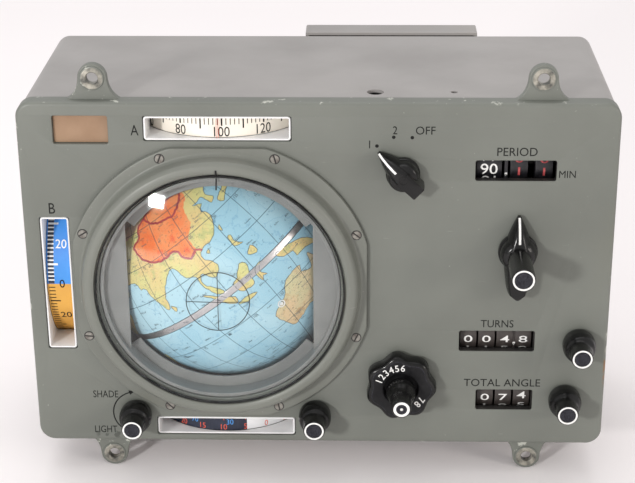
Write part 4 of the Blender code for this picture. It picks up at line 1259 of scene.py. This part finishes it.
def drum(name, node, body, slot, joint, level, finishes, kind_at):
    """A scale drum's rim and web, its rim coloured by sectors and just inside the window's frame."""
    inset = Vector((1, 0, 1)) * (BORDER + 0.15)
    low, high = span(node.replace("drum", "frame"))
    low += inset
    high -= inset
    at = pivot(joint)
    start, end = (low.x - at.x, high.x - at.x) if level else (low.z - at.z, high.z - at.z)

    def spot(radius, a, along):
        if level:
            return round_level(radius)(along, a * radius)
        return round_upright(radius)(a * radius, along)

    def loop(radius, along, steps, first):
        return [spot(radius, 2 * pi * i / steps + first, along) for i in range(steps)]

    shape = Shape()
    steps = 180
    for i in range(steps):
        a, b = (2 * pi * k / steps - pi for k in (i, i + 1))
        corners = [(a, start), (b, start), (b, end), (a, end)]
        corners = [spot(DRUM_RADIUS, angle, along) for angle, along in corners]
        shape.add(corners, [(0, 1, 2, 3)], kind_at(degrees((a + b) / 2)))
    metal = len(finishes) - 1
    for along in (start, end):
        rims = [loop(radius, along, steps, -pi) for radius in (DRUM_RADIUS, DRUM_RADIUS - 2)]
        shape.loft(rims, metal, smooth=False)
    web = start + 1 if node == "longitude_drum" else end - 1
    shape.sheet(*(loop(radius, web, 90, 0) for radius in (DRUM_RADIUS - 0.5, 3.2)), kind=metal)
    make(shape, name, finishes, body, slot, at=at, replaces=[node], sharp=30)
    return at, start, end


def longitude_scale():
    at, low, high = drum(
        "longitude_band", "longitude_drum", "longitude_scale", "scale_ivory", "longitude_turn",
        False, [IVORY, ALUMINIUM], lambda a: 0,
    )
    shape = Shape()
    surface = round_upright(DRUM_RADIUS + PRINT)
    units = 260  # round the whole drum
    pitch = 2 * pi * DRUM_RADIUS / units
    top = high - 0.2
    for unit in range(0, units, 2):
        u = ((unit - LONGITUDE_READING + units / 2) % units - units / 2) * pitch
        length, width = {10: (6.4, 0.8), 0: (4.5, 0.9)}.get(unit % 20, (4.0, 0.45))
        put(shape, bar(width, length), (u, top - length / 2), surface, step=1.5)
        if unit % 20 == 0:
            put(shape, lettering(str(unit), 5.6, 0.84), (u, low + 3.2), surface, step=1.2)
    make(shape, "longitude_figures", [BLACK_INK], "longitude_scale", "scale_ivory", at=at)


def latitude_scale():
    limit = 90 * LATITUDE_UNIT
    at, low, high = drum(
        "latitude_band", "latitude_drum", "latitude_scale", "scale_colour", "latitude_turn",
        True, [BLUE, OCHRE, SCALE_WHITE, ALUMINIUM],
        lambda a: 0 if LATITUDE_ZERO < a < limit else 1 if -limit < a <= LATITUDE_ZERO else 2,
    )
    shape = Shape()
    surface = round_level(DRUM_RADIUS + PRINT)
    under = round_level(DRUM_RADIUS + PRINT * 0.4)
    pitch = radians(LATITUDE_UNIT) * DRUM_RADIUS
    zero = radians(LATITUDE_ZERO) * DRUM_RADIUS
    left = low + 0.7
    navy = bar(3.4, 88 * pitch)
    put(shape, navy, (left + 1.7, zero + 44 * pitch), under, kind=2, step=1.5)
    for unit in range(-90, 91, 2):
        if unit == 0:
            continue
        length, width = (5.9, 1.15) if unit % 20 == 10 else (3.6, 0.8)
        if unit < 0:
            width *= 0.75
        at_mark = (left + length / 2, zero + unit * pitch)
        put(shape, bar(length, width), at_mark, surface, int(unit > 0), step=1.0)
    for unit in range(-80, 81, 20):
        figure = lettering(str(abs(unit)), 5.0, 0.92, 0.004)
        put(shape, figure, (2.2, zero + unit * pitch), surface, int(unit > 0), step=1.0)
    inks = [BLACK_INK, WHITE_INK, NAVY]
    make(shape, "latitude_figures", inks, "latitude_scale", "scale_colour", at=at)


def light_scale():
    at, low, high = drum(
        "light_band", "light_drum", "light_scale", "scale_dark", "light_turn",
        False, [NAVY, SCALE_WHITE, ALUMINIUM], lambda a: 0 if -62 < a < 13.6 or a > 110 else 1,
    )
    shape = Shape()
    surface = round_upright(DRUM_RADIUS + PRINT)
    pitch = radians(14.9) * DRUM_RADIUS
    for k, value in enumerate(range(40, -45, -5)):
        u = (k - 8) * pitch + 24.0
        put(shape, lettering(str(abs(value)), 3.6, 0.9), (u, low + 2.2), surface, step=1.0)
        put(shape, bar(0.4, 1.0), (u, high - 1.6), surface, step=1.0)
    for u, text, kind in ((-19.5, "70", 1), (2.0, "30", 1), (34.8, "10", 2), (-44.0, "110", 1)):
        put(shape, lettering(text, 3.4, 0.9), (u, high - 3.2), surface, kind, step=1.0)
    make(shape, "light_figures", [RED_INK, BLUE_INK, BLACK_INK], "light_scale", "scale_dark", at=at)


def window_frame(name, window):
    """A white sleeve in the panel's window: a rounded lip, then straight walls back to the drum."""
    node = f"{window}_frame"
    low, high = span(node)
    lip, bead = 0.7, 0.4  # how far the outer and the inner edge are rounded
    shape = Shape()

    def loop(inset, y):
        return dense(rounded(low.x, high.x, low.z, high.z, 1.8, y, -inset, 6))

    shape.loft([loop(0, high.y), loop(0, low.y + lip)])
    bend = [pi / 2 * i / 5 for i in range(6)]
    shape.loft([loop(lip - lip * cos(a), low.y + lip - lip * sin(a)) for a in bend])
    shape.loft([loop(lip, low.y), loop(BORDER - bead, low.y)])
    bend = [pi / 2 * i / 4 for i in range(5)]
    shape.loft([loop(BORDER - bead + bead * sin(a), low.y + bead - bead * cos(a)) for a in bend])
    shape.loft([loop(BORDER, low.y + bead), loop(BORDER, high.y)], smooth=False)
    trim(shape, DRUM_RADIUS + 0.4, pivot(f"{window}_turn"), window == "latitude")
    make(shape, name, [ENAMEL], "case", "white_enamel", replaces=[node], sharp=40)


def dense(loop, step=1.5):
    """The same outline with its long straight sides cut into short ones."""
    out = []
    for a, b in zip(loop, loop[1:] + loop[:1]):
        pieces = 40 if (b - a).length > step else 1
        out += [a.lerp(b, i / pieces) for i in range(pieces)]
    return out


def trim(shape, radius, centre, level):
    """Pulls every point that would lie inside a drum forward to its clearance."""
    for point in shape.points:
        across = (point.z - centre.z) if level else (point.x - centre.x)
        if abs(across) < radius:
            point.y = min(point.y, centre.y - sqrt(radius**2 - across**2))


def hairline():
    """Two red lines across the longitude window."""
    low, high = span("longitude_frame")
    shape = Shape()
    for side in (-0.55, 0.55):
        x = (low.x + high.x) / 2 + side
        shape.block((x - 0.1, 1.5, low.z + 1.0), (x + 0.1, 1.8, high.z - 1.0), 0.05)
    make(shape, "longitude_hairline", [RED_INK], "case", "white_enamel")


# Counters -----------------------------------------------------------------------------------------

WHEEL_RADIUS = 12.4
COUNTER_DIGITS = {
    "period": ([[f"{n}" for n in range(90, 100)], "0123456789", "0123456789"], [0.0, 0.9, 0.86]),
    "turns": (["0123456789"] * 4, [0.0, 0.0, 4.0, 8.0]),
    "angle": (["0123456789"] * 3, [0.0, 7.0, 4.2]),
}


def wheel_paint(counter):
    return WHEEL_BLACK if counter == "period" else WHEEL


def counters():
    for name, (faces, shown) in COUNTER_DIGITS.items():
        for i, (digits, offset) in enumerate(zip(faces, shown), 1):
            node = f"{name}_wheel_{i}"
            low, high = span(node)
            half = (high.x - low.x) / 2
            profile = [(2.7, -half), (WHEEL_RADIUS, -half), (WHEEL_RADIUS, half), (2.7, half)]
            profile = soften(profile, 0.25, 2)
            shape = Shape()
            for pair in zip(profile, profile[1:]):
                shape.loft([[Vector((x, u, v)) for u, v in circle(r, 120)] for r, x in pair])
            surface = round_level(WHEEL_RADIUS + PRINT)
            pitch = 2 * pi * WHEEL_RADIUS / 10
            red = name == "period" and i > 1
            for k, text in enumerate(digits):
                v = (offset - k + 5) % 10 - 5
                tall, wide, drop = (6.3, 1.1, 1.0) if len(text) > 1 else (4.4, 1.75, 1.3)
                if red:
                    tall, wide, drop = 5.2, 1.5, 1.6
                figure = lettering(text, tall, wide, 0.004)
                put(shape, figure, (0, v * pitch - drop), surface, 2 if red else 1, step=0.8)
            make(
                shape, f"{name}_digit_wheel_{i}", [wheel_paint(name), WHITE_INK, PINK_INK],
                f"{name}_digit_{i}", "wheel_dark",
                at=pivot(f"{name}_digit_{i}_turn"), replaces=[node], weld=0.0005,
            )


def fixed_points():
    """The marks between whole and tenth wheels, on a thin post in the gap."""
    drop = 3.6
    for name, first in (("period", 1), ("turns", 3)):
        left = span(f"{name}_wheel_{first}")[1].x
        right = span(f"{name}_wheel_{first + 1}")[0].x
        wide = min(0.5 * (right - left) - 0.2, 0.9)
        at = pivot(f"{name}_digit_{first}_turn")
        x, front = (left + right) / 2, at.y - WHEEL_RADIUS - 0.2
        shape = Shape()
        shape.block((x - wide, front, at.z - 8), (x + wide, front + 6.2, at.z + 8), 0.1)

        def face(u, v):
            return Vector((x + u, front - PRINT, at.z - drop + v))

        put(shape, disc(0.75), (0, 0), face, 1)
        put(shape, ([(-0.5, -0.1), (0.6, -0.1), (-0.3, -1.3)], [(0, 1, 2)]), (0, 0), face, 1)
        finishes = [wheel_paint(name), WHITE_INK]
        make(shape, f"{name}_fixed_point", finishes, "case", "wheel_dark")


# Knobs --------------------------------------------------------------------------------------------

MODE_REST = 137.0
LOBES = 7
LOBE_START = 99.5
LOBED_STEPS = 210
STEM_FINISHES = [BLACK, WHITE_INK, GRAINED]


def white_ring_cap(shape, front, radius):
    """The face of a stem knob: a thin black lip, a white ring and a grained middle set in a little."""
    inner = radius - 0.95
    shape.turned([(0, front + 0.45), (inner, front + 0.4)], 2, 64)
    shape.turned([(inner, front + 0.4), (inner, front + 0.02)], 1, 64)
    shape.turned([(inner, front + 0.02), (radius, front + 0.02)], 1, 64)


def knob(shape, name, finishes, body, joint, **more):
    """A knob is made about its own joint."""
    make(shape, name, finishes, body, "black_plastic", at=pivot(joint), **more)


def small_knob(name, joint, body):
    front = span(name)[0].y
    shape = Shape()
    white_ring_cap(shape, front, 5.55)
    profile = [
        (5.55, front + 0.02), (5.75, front), (6.15, front + 0.5), (6.2, -14.5), (6.9, -12.6),
        (8.5, -10.9), (9.4, -7.5), (9.4, -3.4), (9.0, -0.7), (3.0, -0.7),
    ]
    shape.turned(soften(profile, 0.9))
    knob(shape, name.replace("knob", "dial"), STEM_FINISHES, body, joint, replaces=[name])


def bar_section(u, half, top_half, base, top, bend):
    """A slice across a pointer knob at u along it: upright sides and a rounded ridge."""
    shoulder = (base - top) * 0.55
    points = [(-half, base), (-half, top + shoulder)]
    steps = 6
    for i in range(steps + 1):
        t = i / steps
        points.append((-half + (half - top_half) * t, top + shoulder * (1 - sin(pi / 2 * t)) ** bend))
    points += [(-x, y) for x, y in reversed(points)]
    return [Vector((x, y, u)) for x, y in points]


def pointer_bar(shape, sections, base):
    """Sections are (u, half width, ridge half width, height of the top)."""
    loops = [bar_section(u, half, top_half, base, top, 1.3) for u, half, top_half, top in sections]
    shape.loft(loops)
    for end in (loops[0], loops[-1]):
        shape.sheet(end)


def pointer_line(shape, sections, start, end, width):
    """The white line let into the ridge."""
    line = []
    for i in range(13):
        u = start + (end - start) * i / 12
        for (u0, *_, t0), (u1, *_, t1) in zip(sections, sections[1:]):
            if min(u0, u1) <= u <= max(u0, u1):
                line.append(Vector((0, t0 + (t1 - t0) * (u - u0) / (u1 - u0) - 0.08, u)))
                break
    ribbon(shape, line, width, forward, kind=1)


def mode_knob():
    shape = Shape()
    profile = [
        (3.0, -0.7), (9.0, -0.7), (9.4, -1.2), (9.4, -3.4), (8.7, -4.2), (8.6, -8.0), (7.4, -10.6),
        (4.0, -11.6), (0, -11.8),
    ]
    shape.turned(soften(profile, 0.8))
    nose = [
        (18.6, 0.7, 0.3, -4.2), (16.0, 1.9, 0.4, -7.6), (12.5, 3.4, 0.5, -10.4),
        (8.5, 4.8, 0.8, -12.4), (4.0, 5.8, 1.8, -13.4), (-1.0, 5.6, 3.0, -13.8),
    ]
    pointer_bar(shape, nose, -2.0)
    tail = [
        (1.0, 4.8, 3.9, -13.8), (-6.0, 4.6, 3.9, -13.9), (-11.4, 4.6, 3.9, -13.6),
        (-12.0, 4.3, 3.6, -13.2),
    ]
    pointer_bar(shape, tail, -2.0)
    pointer_line(shape, nose, 18.3, 5.6, 1.25)
    turn = Matrix.Rotation(-radians(MODE_REST - 90.0), 4, "Y")
    knob(
        shape, "mode_pointer_knob", [BLACK, WHITE_INK], "mode_pointer", "mode_turn",
        turn=turn, replaces=["mode_knob"],
    )
    screw = Shape()
    screw.turned([(2.5, -13.4), (2.5, -14.0), (2.1, -14.0), (2.1, -13.6), (0, -13.7)], 0, 32)
    screw.block((-1.6, -13.95, -0.3), (1.6, -13.5, 0.3), 0.1)
    knob(screw, "mode_knob_screw", [BLACK], "mode_pointer", "mode_turn", turn=turn)


def period_knobs():
    shape = Shape()
    profile = [
        (5.2, -1.0), (10.6, -1.0), (11.0, -1.5), (11.0, -4.0), (10.2, -4.6), (10.0, -8.0),
        (9.0, -11.0), (7.0, -12.6), (5.0, -13.0), (3.3, -13.0),
    ]
    shape.turned(soften(profile, 0.8))
    nose = [
        (21.6, 0.7, 0.3, -4.2), (18.5, 2.2, 0.4, -7.4), (14.5, 4.0, 0.6, -10.4),
        (10.0, 5.8, 1.2, -12.4), (3.4, 7.4, 3.0, -13.4),
    ]
    pointer_bar(shape, nose, -1.6)
    tail = []
    for i in range(9):
        t = i / 8
        u = -3.4 - 22.1 * t
        tuck = sqrt(max(0.0, 1 - max(0.0, (-u - 20.0) / 5.6) ** 2))
        half = (8.2 - 2.2 * min(1.0, t * 1.3)) * tuck
        tail.append((u, max(half, 0.4), max(half * 0.6, 0.2), -13.8 + 1.5 * (1 - tuck)))
    pointer_bar(shape, tail, -1.6)
    pointer_line(shape, nose, 21.2, 8.4, 1.25)
    knob(
        shape, "period_pointer_knob", [BLACK, WHITE_INK], "period_bar", "period_pointer_turn",
        replaces=["period_pointer"],
    )
    front = span("period_stem_knob")[0].y
    stem = Shape()
    white_ring_cap(stem, front, 5.95)
    profile = [
        (5.95, front + 0.02), (6.15, front), (6.55, front + 0.5), (6.6, -16.0), (6.2, -15.0),
        (3.0, -15.0),
    ]
    stem.turned(soften(profile, 0.5))
    knob(
        stem, "period_stem_dial", STEM_FINISHES, "period_stem", "period_stem_turn",
        replaces=["period_stem_knob"],
    )


def lobed(scale, y):
    loop = []
    for i in range(LOBED_STEPS):
        a = 2 * pi * i / LOBED_STEPS
        radius = (19.5 + 1.15 * cos(LOBES * (a - radians(LOBE_START)))) * scale
        loop.append(Vector((radius * cos(a), y, radius * sin(a))))
    return loop


def orbit_knobs():
    shape = Shape()
    top = -11.05  # of the printed face
    sides = [
        (0.9, -1.0), (0.97, -1.4), (1.0, -3.0), (0.99, -8.4), (0.965, -9.8), (0.93, -10.6),
        (0.885, -10.9), (0.86, -10.9),
    ]
    shape.loft([lobed(scale, y) for scale, y in sides])
    shape.loft([lobed(0.86, -10.9), lobed(0.85, top), lobed(0.84, top)], 2)
    shape.loft([lobed(0.84, top), ring(10.6, top, LOBED_STEPS)], 1, smooth=False)
    well = [
        (10.6, top), (10.1, -10.8), (9.9, -10.2), (9.9, -6.4), (9.3, -5.6), (5.0, -5.4), (2.7, -5.4)
    ]
    shape.turned(well, 1, LOBED_STEPS)
    shape.loft([lobed(0.9, -1.0), ring(4.9, -1.0, LOBED_STEPS)], smooth=False)

    def face(u, v):
        return Vector((u, top - PRINT, v))

    for start, figures in ((158, "123456"), (-30, "78")):
        for k, figure in enumerate(figures):
            a = radians(start - k * 14.5)
            spot = (13.6 * cos(a), 13.6 * sin(a))
            put(shape, lettering(figure, 4.0, 0.95, 0.008), spot, face, 3, turn=a - pi / 2)
    knob(
        shape, "orbit_hand_knob", [BLACK, MATT_BLACK, GRAINED, WHITE_INK], "orbit_hand_wheel",
        "orbit_knob_turn", replaces=["orbit_knob"], sharp=45,
    )
    front = span("earth_knob")[0].y
    lip = front + 0.02
    stem = Shape()
    stem.turned([(0, lip), (0.9, lip)], 1, 32)
    stem.turned([(0.9, lip), (1.0, front + 0.3), (3.0, front + 0.3), (3.1, lip)], 2, 64)
    stem.turned([(3.1, lip), (4.6, lip)], 1, 64)
    profile = [
        (4.6, lip), (5.0, front), (5.6, front + 0.8), (5.8, -24.0), (6.2, -21.5), (8.0, -18.2),
        (8.4, -15.5), (8.4, -12.6), (8.0, -12.0), (2.5, -12.0),
    ]
    stem.turned(soften(profile, 0.8))
    knob(
        stem, "earth_stem_dial", STEM_FINISHES, "earth_stem", "earth_knob_turn",
        replaces=["earth_knob"],
    )


# Inner parts that keep their own shape ------------------------------------------------------------


def inner_parts():
    for finish, nodes in (
        (TAN, ["blank_plate"]),
        (ALUMINIUM, ["chassis", "yoke_left", "yoke_right"]),
        (BLACK_PAINT_AND_SHADE, ["period_counter_frame", "turns_counter_frame", "angle_counter_frame"]),
        (PHENOLIC, ["mode_switch"]),
        (STEEL, ["brightness_control", "drive_solenoid", "ratchet_wheel", "polar_axle"]),
        (BRASS, ["orbit_gear", "pinion_shaft"]),
    ):
        for node in nodes:
            thing = frame["nodes"][node]
            thing.data.materials.clear()
            thing.data.materials.append(finish)


# Floor, light and camera --------------------------------------------------------------------------


def floor():
    shape = bmesh.new()
    bmesh.ops.create_grid(shape, x_segments=1, y_segments=1, size=8.0)
    mesh = bpy.data.meshes.new("floor")
    shape.to_mesh(mesh)
    shape.free()
    pale = plain("pale_floor", (0.93, 0.895, 0.9), (0.92, 0.885, 0.89), 0.7, scale=2, depth=0.0)
    mesh.materials.append(pale)
    placed("floor", mesh)


def lamp(name, direction, distance, size, power, colour, target=(0, 0, 0)):
    light = bpy.data.lights.new(name, "AREA")
    light.shape = "RECTANGLE"
    light.size, light.size_y = size
    light.energy = power
    light.color = colour
    thing = placed(name, light)
    aim = DATUM + Vector(target) * MM
    thing.location = aim + Vector(direction).normalized() * distance
    thing.rotation_euler = (aim - thing.location).to_track_quat("-Z", "Y").to_euler()


def studio():
    lamp("key_light", (-0.48, -0.82, 0.26), 1.7, (0.17, 0.14), 16, (1.0, 0.985, 0.97), (-55, 0, 0))
    lamp("fill_light", (0.86, -0.5, 0.25), 2.0, (0.5, 0.5), 9, (1.0, 0.93, 0.86))
    lamp("top_light", (-0.1, 0.25, 1.0), 2.2, (2.2, 2.2), 20, (1.0, 0.99, 0.99))
    world = bpy.data.worlds.new("studio")
    world.use_nodes = True
    background = world.node_tree.nodes["Background"]
    background.inputs["Color"].default_value = (1.0, 0.985, 0.985, 1)
    background.inputs["Strength"].default_value = 0.72
    bpy.context.scene.world = world
    bpy.context.scene.view_settings.view_transform = "Standard"


CAMERA_SPOT = (26.1, -861.1, 389.9)
CAMERA_YAW = -1.75
CAMERA_PITCH = 23.04
CAMERA_ROLL = -0.40
CAMERA_LENS = 94.88


def camera():
    yaw, pitch, roll = radians(CAMERA_YAW), radians(CAMERA_PITCH), radians(CAMERA_ROLL)
    ahead = Vector((sin(yaw) * cos(pitch), cos(yaw) * cos(pitch), -sin(pitch)))
    level = Vector((cos(yaw), -sin(yaw), 0))
    above = level.cross(ahead)
    right = level * cos(roll) + above * sin(roll)
    up = above * cos(roll) - level * sin(roll)
    data = bpy.data.cameras.new("camera")
    data.lens = CAMERA_LENS
    data.sensor_width = 36.0
    data.clip_end = 50
    thing = placed("camera", data)
    turn = Matrix((right, up, -ahead)).transposed().to_4x4()
    thing.matrix_world = Matrix.Translation(DATUM + Vector(CAMERA_SPOT) * MM) @ turn
    bpy.context.scene.camera = thing


front_panel()
panel_labels()
rear_case()
rear_connectors()
dome_ring()
ring_screws()
dome_window()
globe_mask()
hemispheres()
globe_print()
equator_band()
longitude_scale()
latitude_scale()
light_scale()
for window in ("longitude", "latitude", "light"):
    window_frame(f"{window}_bezel", window)
hairline()
counters()
fixed_points()
mode_knob()
period_knobs()
orbit_knobs()
small_knob("turns_knob", "turns_knob_turn", "turns_set")
small_knob("angle_knob", "angle_knob_turn", "angle_set")
small_knob("brightness_knob", "brightness_turn", "brightness_set")
small_knob("light_knob", "light_knob_turn", "light_set")
inner_parts()
floor()
studio()
camera()
